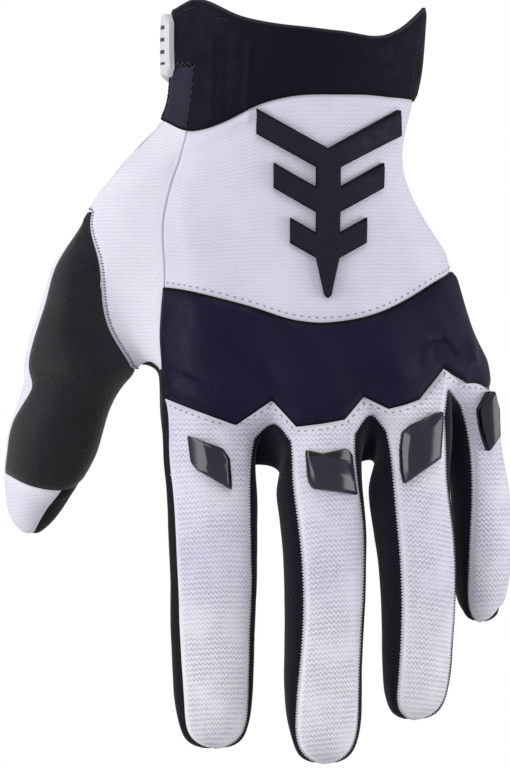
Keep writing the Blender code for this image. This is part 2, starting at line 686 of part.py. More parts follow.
def build_cage():
    rings = {name: [finger_ring(name, n) for n in range(len(f["stations"]))] for name, f in FINGERS.items()}
    cage = Cage()
    put_cuff(cage)
    put_hand_rows(cage)
    put_thumb_fork(cage, rings["thumb"][0])
    put_band_foot(cage)
    put_finger_forks(cage, rings)
    put_fingers(cage, rings)
    join_hand(cage)
    join_forked_hand(cage)
    join_web(cage, "fork", "T", "I", "A", "thumb_side", "hand_side", "thumb_gusset", "palm")
    for (a, b), web, names in zip(zip("IMR", "MRL"), WEBS, zip(FINGER_NAMES, FINGER_NAMES[1:])):
        panel = f"fourchette_{names[0]}_{names[1]}"
        join_web(cage, "webs", a, b, web, a + "right", b + "left", panel, panel)
    for finger, letter in LETTERS.items():
        row = "fork" if finger == "thumb" else "webs"
        left, right = ("SL", "thumb_side") if finger == "thumb" else (letter + "left", letter + "right")
        names = [(letter + "0", False), (letter + "1", False), (letter + "2", False), (right, False)]
        names += [(letter + "2", True), (letter + "1", True), (letter + "0", True), (left, False)]
        join_digit(cage, finger, [(row, *name) for name in names])
    corners = ("I0", "I2", "B", "M0", "M2", "C", "R0", "R2", "D", "L0", "L2")
    cage.corners = [cage.index[("band_foot", name, False)] for name in corners]
    return cage


def evaluated(obj):
    graph = bpy.context.evaluated_depsgraph_get()
    graph.update()
    return obj.evaluated_get(graph).to_mesh()


def smooth_skin(cage, level):
    """The cage's smooth surface, fitted so that it passes through the cage's points. It returns points,
    faces and the number of each face's panel."""
    names = sorted(set(cage.panels))
    target = np.array(cage.points)
    mesh = bpy.data.meshes.new("cage")
    mesh.from_pydata([tuple(p) for p in target], [], cage.quads)
    mesh.polygons.foreach_set("material_index", [names.index(p) for p in cage.panels])
    crease = mesh.attributes.new("crease_vert", "FLOAT", "POINT")
    values = np.zeros(len(target), np.float32)
    values[cage.corners] = 1.0
    crease.data.foreach_set("value", values)
    foot = {cage.index[("band_foot", name, False)] for name in HAND_COLUMNS}
    edge_crease = mesh.attributes.new("crease_edge", "FLOAT", "EDGE")
    edge_crease.data.foreach_set("value", [float(set(e.vertices) <= foot) for e in mesh.edges])
    obj = bpy.data.objects.new("cage", mesh)
    bpy.context.scene.collection.objects.link(obj)
    subdivision = obj.modifiers.new("Skin", "SUBSURF")
    subdivision.levels = subdivision.render_levels = 1
    control = target.copy()
    for _ in range(5):
        shown = evaluated(obj)
        limit = np.array([v.co for v in shown.vertices[: len(target)]])
        obj.to_mesh_clear()
        control += 0.85 * (target - limit)
        mesh.vertices.foreach_set("co", control.astype(np.float32).ravel())
        mesh.update()
    subdivision.levels = subdivision.render_levels = level
    shown = evaluated(obj)
    points = np.array([v.co for v in shown.vertices])
    faces = [list(p.vertices) for p in shown.polygons]
    panels = [names[p.material_index] for p in shown.polygons]
    bpy.data.objects.remove(obj)
    if level == 1:
        return points, *whole_where_straight(cage, faces, panels)
    return points, faces, panels


def whole_where_straight(cage, faces, panels):
    """Joins the four quarters of a straight quad into two strips down its length."""
    kept, kept_panels = [], []
    for number, (corners, straight) in enumerate(zip(cage.quads, cage.straight)):
        quarters = faces[4 * number : 4 * number + 4]
        if straight:
            at = [set(next(q for q in quarters if c in q)) for c in corners]
            centre = at[0] & at[2]
            lower = (at[1] & at[2] - centre).pop()
            upper = (at[3] & at[0] - centre).pop()
            quarters = [[corners[0], corners[1], lower, upper], [upper, lower, corners[2], corners[3]]]
        kept += quarters
        kept_panels += [panels[4 * number]] * len(quarters)
    return kept, kept_panels


def normals_of(points, faces):
    total = np.zeros_like(points)
    for face in faces:
        corner = points[face]
        normal = np.cross(corner[2] - corner[0], corner[3] - corner[1])
        for v in face:
            total[v] += normal
    return total / np.maximum(np.linalg.norm(total, axis=1), 1e-9)[:, None]


def edge_loop_of(faces):
    """The directed edges that only one of these faces has."""
    seen = {}
    for face in faces:
        for a, b in zip(face, face[1:] + face[:1]):
            seen[(a, b)] = seen.get((a, b), 0) + 1
    return [(a, b) for a, b in seen if (b, a) not in seen]


def pull_in(points, normals, edges, distance):
    """Moves the points of a patch's edge into the patch, along the surface."""
    inward = {}
    for a, b in edges:
        along = points[b] - points[a]
        for v in (a, b):
            side = np.cross(normals[v], along)
            inward.setdefault(v, []).append(side / max(np.linalg.norm(side), 1e-9))
    moved = points.copy()
    for v, sides in inward.items():
        total = np.sum(sides, axis=0)
        length = np.linalg.norm(total)
        if length > 1e-6:
            way = total / length
            moved[v] += way * distance / max(float(way @ sides[0]), 0.5)
    return moved


def mesh_object(name, points, faces, material):
    mesh = bpy.data.meshes.new(name)
    mesh.from_pydata([tuple(p * MM) for p in points], [], faces)
    mesh.validate()
    mesh.materials.append(material)
    mesh.shade_smooth()
    mesh.set_sharp_from_angle(angle=math.radians(50))
    obj = bpy.data.objects.new(name, mesh)
    bpy.context.scene.collection.objects.link(obj)
    return obj


def thick_patch(points, normals, faces, top, bottom):
    """A closed wall over a patch: its outer face top above the skin, its inner face bottom above it."""
    used = sorted({v for face in faces for v in face})
    index = {v: i for i, v in enumerate(used)}
    upper = points[used] + normals[used] * top
    lower = points[used] + normals[used] * bottom
    count = len(used)
    solid = [[index[v] for v in face] for face in faces]
    solid += [[index[v] + count for v in reversed(face)] for face in faces]
    for a, b in edge_loop_of([[index[v] for v in face] for face in faces]):
        solid.append([b, a, a + count, b + count])
    return np.concatenate([upper, lower]), solid


def build_panels(skin):
    points, faces, panels = skin
    normals = normals_of(points, faces)
    for name in sorted(set(panels)):
        patch = [face for face, panel in zip(faces, panels) if panel == name]
        proud, wall, material = next(wall for start, wall in WALLS.items() if name.startswith(start))
        pulled = pull_in(points, normals, edge_loop_of(patch), SEAM_GAP / 2)
        solid = thick_patch(pulled, normals, patch, proud, proud - wall)
        mesh_object(name, *solid, new_material(name, material))


class Seat:
    """What the rubber pieces sit on: the fine skin, or the panels' flat faces where those stand out."""

    def __init__(self, points, faces, flat_points, flat_faces):
        self.faces, self.normals = faces, normals_of(points, faces)
        self.tree = BVHTree.FromPolygons([tuple(p) for p in points], faces)
        self.flat = BVHTree.FromPolygons([tuple(p) for p in flat_points], flat_faces)

    def hit(self, start, way):
        """Where a ray first meets either, and the fine skin's normal there."""
        point, _, face, distance = self.tree.ray_cast(Vector(start), Vector(way))
        flat_distance = self.flat.ray_cast(Vector(start), Vector(way))[3]
        if flat_distance is not None and flat_distance < distance:
            point = Vector(start) + Vector(way) * flat_distance
        normal = self.normals[self.faces[face]].sum(axis=0)
        return np.array(point), normal / np.linalg.norm(normal)


def way_at(angle):
    """The direction at an angle from straight back."""
    return np.array([math.sin(math.radians(angle)), -math.cos(math.radians(angle)), 0.0])


def inset(corners, distance):
    """The corners of a polygon, each moved in from both of its edges."""
    moved = []
    middle = np.mean(corners, axis=0)
    for i, corner in enumerate(corners):
        sides = []
        for other in (corners[i - 1], corners[(i + 1) % len(corners)]):
            along = (other - corner) / np.linalg.norm(other - corner)
            side = np.array([-along[1], along[0]])
            sides.append(side if side @ (middle - corner) > 0 else -side)
        way = (sides[0] + sides[1]) / np.linalg.norm(sides[0] + sides[1])
        moved.append(corner + way * distance / max(float(way @ sides[0]), 0.5))
    return moved


def divided(corners, steps):
    """The corners of a polygon with each edge divided."""
    pairs = zip(corners, corners[1:] + corners[:1])
    return [blend(a, b, n / steps) for a, b in pairs for n in range(steps)]


def finger_middle(finger, z):
    """The middle of a finger at a height."""
    stations = [named(STATION_NAMES, s) for s in FINGERS[finger]["stations"]]
    centres = np.array([finger_centre(finger, s) for s in stations])[::-1]
    return np.array([np.interp(z, centres[:, 2], centres[:, axis]) for axis in (0, 1)] + [z])


def build_guard(seat, finger, material):
    guard, width = GUARDS[finger], FINGERS[finger]["width"]
    facing = way_at(guard["turn"])
    across = np.array([-facing[1], facing[0], 0.0])
    corners = [np.array([u * width, seam_height(drop)]) for u, drop in guard["corners"]]
    foot = divided(corners, GUARD_EDGE_STEPS)
    top = divided(inset(corners, GUARD_BEVEL), GUARD_EDGE_STEPS)
    rings = []
    for outline, heights in ((foot, (0.0, GUARD_HEIGHT - GUARD_BEVEL)), (top, (GUARD_HEIGHT,))):
        middle = np.mean(outline, axis=0)
        for height in heights:
            scales = {0.0: GUARD_RINGS[::-1], GUARD_HEIGHT: GUARD_RINGS}.get(height, (1.0,))
            rings += [[(blend(middle, p, s), height) for p in outline] for s in scales]
    points, count = [], len(foot)
    ends = [(np.mean(foot, axis=0), 0.0), (np.mean(top, axis=0), GUARD_HEIGHT)]
    for flat, height in [spot for ring in rings for spot in ring] + ends:
        start = finger_middle(finger, flat[1]) + across * flat[0] + facing * 1.3 * width
        point, normal = seat.hit(start, -facing)
        points.append(point + normal * (SEAT_GAP + height))
    faces = []
    for ring in range(len(rings) - 1):
        for i in range(count):
            j = (i + 1) % count
            a, b = ring * count, (ring + 1) * count
            faces.append([a + i, a + j, b + j, b + i])
    last, foot_end, top_end = (len(rings) - 1) * count, len(points) - 2, len(points) - 1
    for i in range(count):
        j = (i + 1) % count
        faces += [[foot_end, j, i], [top_end, last + i, last + j]]
    mesh_object(f"knuckle_guard_{finger}", np.array(points), outward(points, faces), material)


def outward(points, faces):
    """The faces, turned round if they face inwards."""
    fans = [(f[0], f[i], f[i + 1]) for f in faces for i in range(1, len(f) - 1)]
    volume = sum(np.dot(points[a], np.cross(points[b], points[c])) for a, b, c in fans)
    return faces if volume > 0 else [f[::-1] for f in faces]


def badge_grid():
    """The badge as quads of flat points: (across, height)."""
    middle, half = BADGE_ACROSS * HAND_WIDTH, BADGE_SPINE * HAND_WIDTH
    index, flat, quads = {}, [], []

    def spot(x, z):
        key = (round(x, 3), round(z, 3))
        if key not in index:
            index[key] = len(flat)
            flat.append(key)
        return index[key]

    def strip(upper, lower):
        for a, b, c, d in zip(upper, lower, lower[1:], upper[1:]):
            quads.append([spot(*a), spot(*b), spot(*c), spot(*d)])

    previous = None
    for half_width, rise, drop in CHEVRONS:
        slope = rise / half_width
        point = seam_height(drop)
        outer = [blend(half, half_width * HAND_WIDTH, n / ARM_STEPS) for n in range(ARM_STEPS + 1)]
        places = [-x for x in reversed(outer)] + [0.0] + outer
        upper = [(middle + x, point + slope * abs(x)) for x in places]
        lower = [(x, z - BADGE_BAR) for x, z in upper]
        strip(upper, lower)
        if previous:
            strip(previous, upper[ARM_STEPS : ARM_STEPS + 3])
        previous = lower[ARM_STEPS : ARM_STEPS + 3]
    tip = seam_height(BADGE_TIP_DROP)
    strip(previous, [(middle + x * 0.3, tip + abs(x) * 0.3) for x in (-half, 0.0, half)])
    return flat, quads


def build_badge(seat, material):
    flat, quads = badge_grid()
    hits = [seat.hit((x, -2 * HAND_DEPTH, z), (0, 1, 0)) for x, z in flat]
    points, normals = (np.array(values) for values in zip(*hits))
    solid = thick_patch(points, normals, quads, SEAT_GAP + BADGE_HEIGHT, SEAT_GAP)
    mesh_object("back_badge", solid[0], outward(*solid), material)


def wrapped(seat, name, columns, wall, material):
    """A piece wrapped round the cuff. Each column is an angle and a height in millimetres."""
    points, normals, faces = [], [], []
    turns, drops = zip(*[(-angle, drop) for angle, drop in STRAP_DROPS])
    for angle, height in columns:
        middle = -CUFF_HEIGHT * np.interp(-angle, turns, drops)
        for share in (0.5, 0.0, -0.5):
            way = way_at(angle)
            start = np.array([-0.01 * CUFF_WIDTH, 0.0, middle + share * height]) + way * CUFF_WIDTH
            point, normal = seat.hit(start, -way)
            points.append(point)
            normals.append(normal)
    for i in range(len(columns) - 1):
        for k in (0, 1):
            faces.append([3 * i + k, 3 * i + k + 1, 3 * i + k + 4, 3 * i + k + 3])
    foot = CUFF_PROUD + SEAT_GAP
    solid = thick_patch(np.array(points), np.array(normals), faces, foot + wall, foot)
    mesh_object(name, solid[0], outward(*solid), material)


def new_material(name, kind):
    colour, roughness, metallic = COLOURS[kind]
    material = bpy.data.materials.new(name)
    material.use_nodes = True
    shader = material.node_tree.nodes["Principled BSDF"]
    shader.inputs["Base Color"].default_value = (*colour, 1)
    shader.inputs["Roughness"].default_value = roughness
    shader.inputs["Metallic"].default_value = metallic
    return material


def main():
    for obj in list(bpy.data.objects):
        bpy.data.objects.remove(obj)
    cage = build_cage()
    skin = smooth_skin(cage, 1)
    build_panels(skin)
    seat = Seat(*smooth_skin(cage, 3)[:2], *skin[:2])
    for finger in GUARDS:
        build_guard(seat, finger, new_material(f"knuckle_guard_{finger}", "rubber"))
    build_badge(seat, new_material("back_badge", "rubber"))
    first, last = STRAP_ANGLES
    strap = [(blend(first, last, n / STRAP_STEPS), STRAP_HEIGHT) for n in range(STRAP_STEPS + 1)]
    wrapped(seat, "closure_strap", strap, STRAP_WALL, new_material("closure_strap", "neoprene"))
    tab = [(angle, share * TAB_HEIGHT) for angle, share in TAB_COLUMNS]
    wrapped(seat, "strap_tab", tab, TAB_WALL, new_material("strap_tab", "tab"))


main()
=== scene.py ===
"""How the mountain bike glove looks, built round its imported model.

The sewn panels are patches of one smooth surface, the same one that the model's solids come from, so
the sizes and tables that shape it are repeated here, in millimetres. Each panel gets its own rolled
seams, folds and finish. The rubber pieces and the thread lie on the finished panels.
"""

import math

import bpy
import numpy as np
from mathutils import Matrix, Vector, noise
from mathutils.bvhtree import BVHTree
from mathutils.interpolate import poly_3d_calc
from mathutils.kdtree import KDTree


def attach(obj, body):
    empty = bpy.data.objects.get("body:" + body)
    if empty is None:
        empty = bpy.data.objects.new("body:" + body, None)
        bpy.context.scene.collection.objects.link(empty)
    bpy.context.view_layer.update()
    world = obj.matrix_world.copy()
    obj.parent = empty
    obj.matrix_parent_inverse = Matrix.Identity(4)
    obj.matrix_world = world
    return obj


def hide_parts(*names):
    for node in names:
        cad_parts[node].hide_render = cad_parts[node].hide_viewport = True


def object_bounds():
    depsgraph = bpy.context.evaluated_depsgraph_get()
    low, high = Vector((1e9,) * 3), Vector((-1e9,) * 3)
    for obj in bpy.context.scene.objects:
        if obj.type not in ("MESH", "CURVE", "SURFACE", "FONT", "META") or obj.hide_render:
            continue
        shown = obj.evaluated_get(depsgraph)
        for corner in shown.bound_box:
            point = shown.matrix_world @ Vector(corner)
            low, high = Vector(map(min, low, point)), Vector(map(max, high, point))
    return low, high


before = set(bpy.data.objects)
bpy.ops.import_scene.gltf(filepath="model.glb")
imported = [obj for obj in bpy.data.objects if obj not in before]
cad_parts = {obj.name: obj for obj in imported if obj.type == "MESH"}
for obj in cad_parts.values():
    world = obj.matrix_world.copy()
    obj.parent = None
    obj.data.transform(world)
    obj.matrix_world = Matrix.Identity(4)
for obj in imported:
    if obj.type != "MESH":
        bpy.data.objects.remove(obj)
model_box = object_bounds()

MM = 0.001  # the sizes below are in millimetres

# Driving sizes of the hand and the cuff
CUFF_WIDTH = 76.0
CUFF_DEPTH = 54.0
CUFF_HEIGHT = 23.5
HAND_WIDTH = 96.0
HAND_LENGTH = 93.0
HAND_DEPTH = 31.0
THUMB_CROTCH_DROP = 75.0  # from the cuff's lower seam down to the fork of the thumb
WEB_SLOPE = 14.0  # how much lower a finger fork is on the palm side
THUMB_WEB_SLOPE = 3.0
THUMB_WEB_LIFT = 2.5  # how far the web of the thumb stands above the thumb and the hand beside it
HAND_SIDE_BULGE = 1.0  # how far the index finger's side stands out at the fork of the thumb

FINGER_CURL = 13.0  # how far a fingertip bends towards the palm

# Walls and seams
KNIT_WALL = 1.3
LEATHER_WALL = 1.2
BAND_WALL = 2.4
BAND_PROUD = 0.7
CUFF_WALL = 2.8
CUFF_PROUD = 0.8
PANEL_PROUD = 0.4

# Rubber pieces and the strap
SEAT_GAP = 0.45
GUARD_HEIGHT = 2.6
BADGE_HEIGHT = 1.8
BADGE_BAR = 7.5
STRAP_HEIGHT = 16.0
STRAP_WALL = 1.8
TAB_HEIGHT = 18.5
TAB_WALL = 2.0

FINGER_NAMES = ("index", "middle", "ring", "little")
LETTERS = {"thumb": "T", "index": "I", "middle": "M", "ring": "R", "little": "L"}
WEBS = ("B", "C", "D")  # between the four fingers; A is the thumb's
THUMB_COLUMNS = ["T0", "T1", "T2", "A"]
HAND_COLUMNS = [f"{letter}{n}" for letter in "IMRL" for n in range(3)]
for web, place in zip(WEBS, (3, 7, 11)):
    HAND_COLUMNS.insert(place, web)
BACK_COLUMNS = THUMB_COLUMNS + HAND_COLUMNS
# How far each fork stands above its fingers' ends, on the back and in the middle, and how far back:
# shares of HAND_LENGTH.
WEB_LIFTS = {"B": (0.080, 0.043, 0.0), "C": (0.077, 0.039, 0.0), "D": (0.100, 0.043, 0.027)}

# Angle of each column round the oval wrist: 0 is the back of the hand, -90 the thumb side.
BACK_ANGLES = (-80, -74, -68, -61, -54, -46, -38, -30, -22, -13, -4, 5, 14, 23, 33, 43, 54, 65, 77)
WRIST_ANGLES = dict(zip(BACK_COLUMNS, BACK_ANGLES), SL=-94, SR=90)

# Each row crosses the hand. back_seam and right are shares of HAND_WIDTH from the origin. The drops
# are shares of HAND_LENGTH below the cuff's lower seam, at the left edge, the back seam, the index
# finger, the middle finger, the ring finger and the right edge. spread is 0 where the columns stand
# as at the wrist and 1 where they stand as at the knuckles. depth is a share of the depth there, and
# palm_drop is the palm side's drop in the middle.
ROW_NAMES = ("back_seam", "right", "drops", "spread", "depth", "palm_drop")
ROWS = {
    "neck": (-0.390, 0.317, (0.175, 0.205, 0.165, 0.14, 0.14, 0.145), 0.10, 0.97, 0.15),
    "heel": (-0.421, 0.355, (0.325, 0.345, 0.32, 0.31, 0.31, 0.295), 0.30, 0.98, 0.31),
    "back": (-0.424, 0.436, (0.465, 0.455, 0.475, 0.49, 0.475, 0.43), 0.52, 1.0, 0.46),
    "band_top": (-0.421, 0.465, (0.60, 0.565, 0.612, 0.676, 0.645, 0.515), 0.72, 1.0, 0.60),
    "band_middle": (-0.429, 0.522, (0.72, 0.70, 0.755, 0.80, 0.775, 0.705), 0.88, 1.02, 0.75),
}

# The ball of the thumb: how far it pushes the palm out next to the thumb's root, shares of HAND_DEPTH.
THUMB_BALL = {"I0": 0.30, "I1": 0.20, "I2": 0.11, "B": 0.05, "M0": 0.02}
BALL_SHARES = {"neck": 0.3, "heel": 0.75, "back": 1.0, "band_top": 0.95, "band_middle": 0.7}

# The thumb's root in each row: where each column stands across, a share of HAND_WIDTH, and back or
# forth, a share of HAND_DEPTH. The last four columns are those of the palm side.
ROOT_NAMES = ("SL", "T0", "T1", "T2", "A", "T0 palm", "T1 palm", "T2 palm", "A palm")
THUMB_ROOT = {
    "neck": (
        (-0.550, 0.14), (-0.550, 0.02), (-0.541, -0.10), (-0.521, -0.22), (-0.463, -0.36),
        (-0.536, 0.23), (-0.515, 0.32), (-0.475, 0.46), (-0.418, 0.58),
    ),
    "heel": (
        (-0.628, 0.27), (-0.640, 0.16), (-0.647, 0.06), (-0.646, -0.04), (-0.548, -0.26),
        (-0.606, 0.38), (-0.575, 0.49), (-0.528, 0.60), (-0.470, 0.67),
    ),
    "back": (
        (-0.744, 0.30), (-0.738, 0.14), (-0.700, -0.04), (-0.624, -0.06), (-0.524, -0.20),
        (-0.726, 0.45), (-0.680, 0.59), (-0.601, 0.69), (-0.512, 0.71),
    ),
    "band_top": (
        (-0.790, 0.36), (-0.782, 0.17), (-0.712, -0.06), (-0.611, 0.01), (-0.517, -0.12),
        (-0.764, 0.56), (-0.701, 0.73), (-0.616, 0.78), (-0.512, 0.72),
    ),
    "band_middle": (
        (-0.828, 0.41), (-0.818, 0.21), (-0.716, -0.05), (-0.586, 0.11), (-0.512, 0.01),
        (-0.796, 0.66), (-0.707, 0.83), (-0.601, 0.78), (-0.507, 0.66),
    ),
}

# Where the hand is at the band's lower edge, a share of HAND_WIDTH from the origin, how far that edge
# drops, a share of HAND_LENGTH, and the back and palm faces there, as shares of HAND_DEPTH.
KNUCKLES = {
    "I0": (-0.420, 0.914, -0.20, 0.26),
    "I1": (-0.306, 0.960, -0.50, 0.38),
    "I2": (-0.196, 1.000, -0.545, 0.42),
    "B": (-0.086, 0.921, -0.53, 0.42),
    "M0": (-0.012, 1.006, -0.565, 0.42),
    "M1": (0.060, 0.997, -0.60, 0.42),
    "M2": (0.136, 0.984, -0.575, 0.43),
    "C": (0.194, 0.911, -0.51, 0.45),
    "R0": (0.270, 0.949, -0.49, 0.49),
    "R1": (0.318, 0.936, -0.48, 0.52),
    "R2": (0.366, 0.917, -0.41, 0.55),
    "D": (0.440, 0.819, -0.26, 0.60),
    "L0": (0.512, 0.870, -0.14, 0.63),
    "L1": (0.552, 0.868, 0.02, 0.62),
    "L2": (0.576, 0.880, 0.20, 0.55),
}
RIGHT_EDGE = (0.580, 0.895, 0.38)  # across, drop and depth shares of the side point there

# The rows between the back seam and the webs. How much the palm side's own drop counts; how far the
# row at the thumb's fork lies from its place at the knuckles towards the band's middle, and from that
# middle down to the band's foot; the same down at the right edge, and its width there; the palm side's
# drop; how far the palm side's foot goes down to a drop of 1; the drop of the index finger's side.
PALM_DROP_WEIGHT = 0.7
FORK_NARROWING = 0.35
FORK_DESCENT = 0.55
RIGHT_FORK_DESCENT = 0.5
RIGHT_FORK_WIDTH = 0.985
PALM_FORK_DROP = 0.87
PALM_FOOT_SHARE = 0.6
INDEX_SIDE_DROP = 0.95

# Each finger: its sizes, the length from the fork to the tip, in millimetres; where its fork end is
# (across and back shares of the hand's width and depth, drop a share of the hand's length),
# its roll towards the little finger, and stations along it. A station's share is of the length, wide
# and deep are shares of its width and depth, lean is a share of its width, curl of FINGER_CURL, and
# the two seams of the back panel are in degrees from straight back.
STATION_NAMES = ("share", "wide", "deep", "lean", "curl", "seam_left", "seam_right")
PALM_SEAM = 52  # the palm side's two seams, in degrees from straight to the palm
PALM_SEAM_MOST = 150  # the most that the right one may be round from straight back
FINGERS = {
    "index": dict(
        length=94.0, width=25.0, depth=22.0,
        across=-0.284, back=-0.10, drop=1.025, roll=4,
        stations=(
            (0.00, 1.00, 1.20, 0.000, 0.00, -74, 76),
            (0.14, 1.05, 1.10, 0.047, 0.02, -66, 62),
            (0.33, 1.035, 1.02, 0.065, 0.12, -60, 63),
            (0.53, 1.00, 1.00, 0.065, 0.34, -57, 67),
            (0.72, 0.965, 0.97, 0.060, 0.62, -52, 66),
            (0.865, 0.89, 0.88, 0.065, 0.84, -52, 70),
            (0.955, 0.68, 0.66, 0.076, 0.96, -58, 70),
        ),
    ),
    "middle": dict(
        length=98.0, width=24.0, depth=22.0,
        across=0.064, back=-0.16, drop=1.030, roll=14,
        stations=(
            (0.00, 1.00, 1.20, 0.000, 0.00, -52, 52),
            (0.12, 1.06, 1.10, -0.020, 0.02, -38, 66),
            (0.30, 1.04, 1.02, 0.030, 0.12, -34, 80),
            (0.50, 1.00, 1.00, 0.045, 0.34, -30, 78),
            (0.70, 0.96, 0.97, 0.027, 0.62, -36, 74),
            (0.86, 0.90, 0.88, 0.037, 0.84, -50, 73),
            (0.955, 0.68, 0.66, 0.050, 0.96, -60, 70),
        ),
    ),
    "ring": dict(
        length=88.0, width=22.4, depth=20.5,
        across=0.350, back=-0.05, drop=1.000, roll=22,
        stations=(
            (0.00, 1.00, 1.20, 0.000, 0.00, -44, 50),
            (0.15, 1.07, 1.10, -0.060, 0.02, -24, 70),
            (0.33, 1.08, 1.02, -0.013, 0.12, -21, 82),
            (0.53, 1.02, 1.00, 0.055, 0.34, -24, 86),
            (0.73, 0.95, 0.97, 0.050, 0.62, -27, 84),
            (0.87, 0.88, 0.88, 0.040, 0.84, -33, 82),
            (0.955, 0.68, 0.66, 0.025, 0.96, -40, 78),
        ),
    ),
    "little": dict(
        length=66.0, width=17.2, depth=17.5,
        across=0.520, back=0.35, drop=0.925, roll=46,
        stations=(
            (0.00, 0.88, 1.12, 0.000, 0.00, -14, 78),
            (0.18, 0.97, 1.04, 0.060, 0.02, -8, 78),
            (0.40, 1.02, 1.00, 0.190, 0.14, -16, 78),
            (0.61, 1.02, 1.00, 0.240, 0.38, -25, 76),
            (0.79, 0.94, 0.95, 0.240, 0.68, -31, 74),
            (0.93, 0.69, 0.68, 0.220, 0.92, -36, 72),
        ),
    ),
    "thumb": dict(
        length=51.0, width=27.0, depth=25.0,
        across=-0.680, back=0.42, drop=0.0, roll=0,
        stations=(
            (0.00, 1.16, 1.12, 0.000, 0.00, -84, 82),
            (0.14, 1.06, 1.06, -0.115, 0.04, -50, 64),
            (0.32, 1.02, 1.00, -0.224, 0.14, -84, 46),
            (0.52, 0.985, 0.98, -0.306, 0.30, -86, 40),
            (0.68, 0.83, 0.90, -0.405, 0.50, -86, 32),
            (0.84, 0.61, 0.72, -0.490, 0.74, -74, 30),
            (0.945, 0.35, 0.46, -0.530, 0.92, -66, 24),
        ),
    ),
}
SLOPE_REACH = 0.30  # how far down a finger its slope to the palm side reaches, a share of its length
THUMB_PANEL_END = 4  # the station where the thumb's black panel stops
THUMB_PANEL_SLANT = (-0.05, 0.02, 0.06)  # how its lower edge slants, shares of its length

# The cuff's three rows: a share of CUFF_HEIGHT above the lower seam at each of CUFF_KNOTS; then width,
# depth and a shift across, as shares of CUFF_WIDTH and CUFF_DEPTH, and the palm side's height in the
# middle.
CUFF_ROWS = {
    "rim": (
        (1.25, 1.37, 1.26, 1.17, 1.06, 1.00, 0.945, 0.91, 1.00, 1.125, 1.28),
        0.975, 1.00, -0.006, 0.92,
    ),
    "cuff_middle": (
        (0.56, 0.55, 0.51, 0.50, 0.55, 0.58, 0.56, 0.55, 0.60, 0.69, 0.65),
        0.97, 0.94, -0.016, 0.50,
    ),
    "cuff_seam": (
        (-0.13, -0.28, -0.243, -0.174, 0.04, 0.153, 0.165, 0.159, 0.14, 0.128, 0.12),
        0.98, 0.90, -0.048, 0.00,
    ),
}
CUFF_KNOTS = ("SL", "I0", "I2", "B", "M1", "C", "R1", "D", "L0", "L1", "SR")

# The outlines of the knuckle guards. turn is how far the guard faces round from straight back, in
# degrees. A corner is its distance across from the finger's middle, a share of the finger's width,
# and its drop, a share of HAND_LENGTH below the cuff's lower seam.
GUARDS = {
    "index": dict(
        turn=0,
        corners=(
            (-0.242, 1.032), (0.171, 1.073), (0.242, 1.105),
            (0.242, 1.206), (-0.159, 1.143), (-0.230, 1.117),
        ),
    ),
    "middle": dict(
        turn=21,
        corners=(
            (-0.352, 1.078), (-0.177, 1.089), (0.149, 1.073), (0.242, 1.095),
            (0.305, 1.222), (-0.266, 1.202), (-0.308, 1.182),
        ),
    ),
    "ring": dict(
        turn=15,
        corners=(
            (-0.294, 1.022), (-0.211, 1.000), (0.121, 0.962), (0.243, 0.956),
            (0.275, 1.105), (-0.235, 1.187), (-0.294, 1.079),
        ),
    ),
    "little": dict(
        turn=32,
        corners=(
            (-0.030, 0.895), (-0.180, 0.952), (-0.160, 1.016), (-0.090, 1.086),
            (0.190, 1.035), (0.220, 0.950), (0.110, 0.892),
        ),
    ),
}

# The badge on the back of the hand: stacked chevrons on a spine. For each, its half width and how far
# its outer end rises above its point, shares of HAND_WIDTH, and its point's drop, of HAND_LENGTH.
BADGE_ACROSS = 0.083
BADGE_SPINE = 0.036
BADGE_TIP_DROP = 0.600
BADGE_TIP_SHARE = 0.3  # how wide the spine's tip is, a share of the spine
CHEVRONS = ((0.215, 0.120, 0.127), (0.165, 0.095, 0.270), (0.115, 0.065, 0.413))
ARM_STEPS = 5

# The strap on the cuff and the tab at its end, in degrees round the cuff from straight back. A tab's
# column is its angle and its height, a share of TAB_HEIGHT. The strap's middle lies at these angles a
# share of CUFF_HEIGHT below the wrist opening.
STRAP_ANGLES = (-119, -225)
TAB_COLUMNS = ((-78, 0.72), (-82, 1.0), (-90, 1.0), (-98, 1.0), (-106, 1.0), (-114, 0.9), (-117, 0.8))
STRAP_DROPS = ((-90, 0.205), (-150, 0.494), (-230, 0.511))


def named(names, row):
    return dict(zip(names, row))


def blend(a, b, share):
    return a + (b - a) * share


def hermite(x, knots, values):
    """A smooth curve through (knots, values), flat beyond its ends."""
    knots, values = np.asarray(knots, float), np.asarray(values, float)
    slopes = np.gradient(values, knots)
    x = min(max(x, knots[0]), knots[-1])
    i = min(int(np.searchsorted(knots, x, side="right")) - 1, len(knots) - 2)
    h = knots[i + 1] - knots[i]
    t = (x - knots[i]) / h
    return (
        (2 * t**3 - 3 * t**2 + 1) * values[i]
        + (t**3 - 2 * t**2 + t) * h * slopes[i]
        + (3 * t**2 - 2 * t**3) * values[i + 1]
        + (t**3 - t**2) * h * slopes[i + 1]
    )


def oval(centre, half_width, half_depth, roll, angle):
    """The point of an oval at an angle from straight back, where the oval itself is turned by roll."""
    local, turn = math.radians(angle - roll), math.radians(roll)
    across, back = half_width * math.sin(local), half_depth * math.cos(local)
    return np.array(
        [
            centre[0] + across * math.cos(turn) + back * math.sin(turn),
            centre[1] + across * math.sin(turn) - back * math.cos(turn),
            centre[2],
        ]
    )


def seam_height(drop):
    """The height of a row that lies drop times the hand's length below the cuff's lower seam."""
    return -CUFF_HEIGHT - drop * HAND_LENGTH


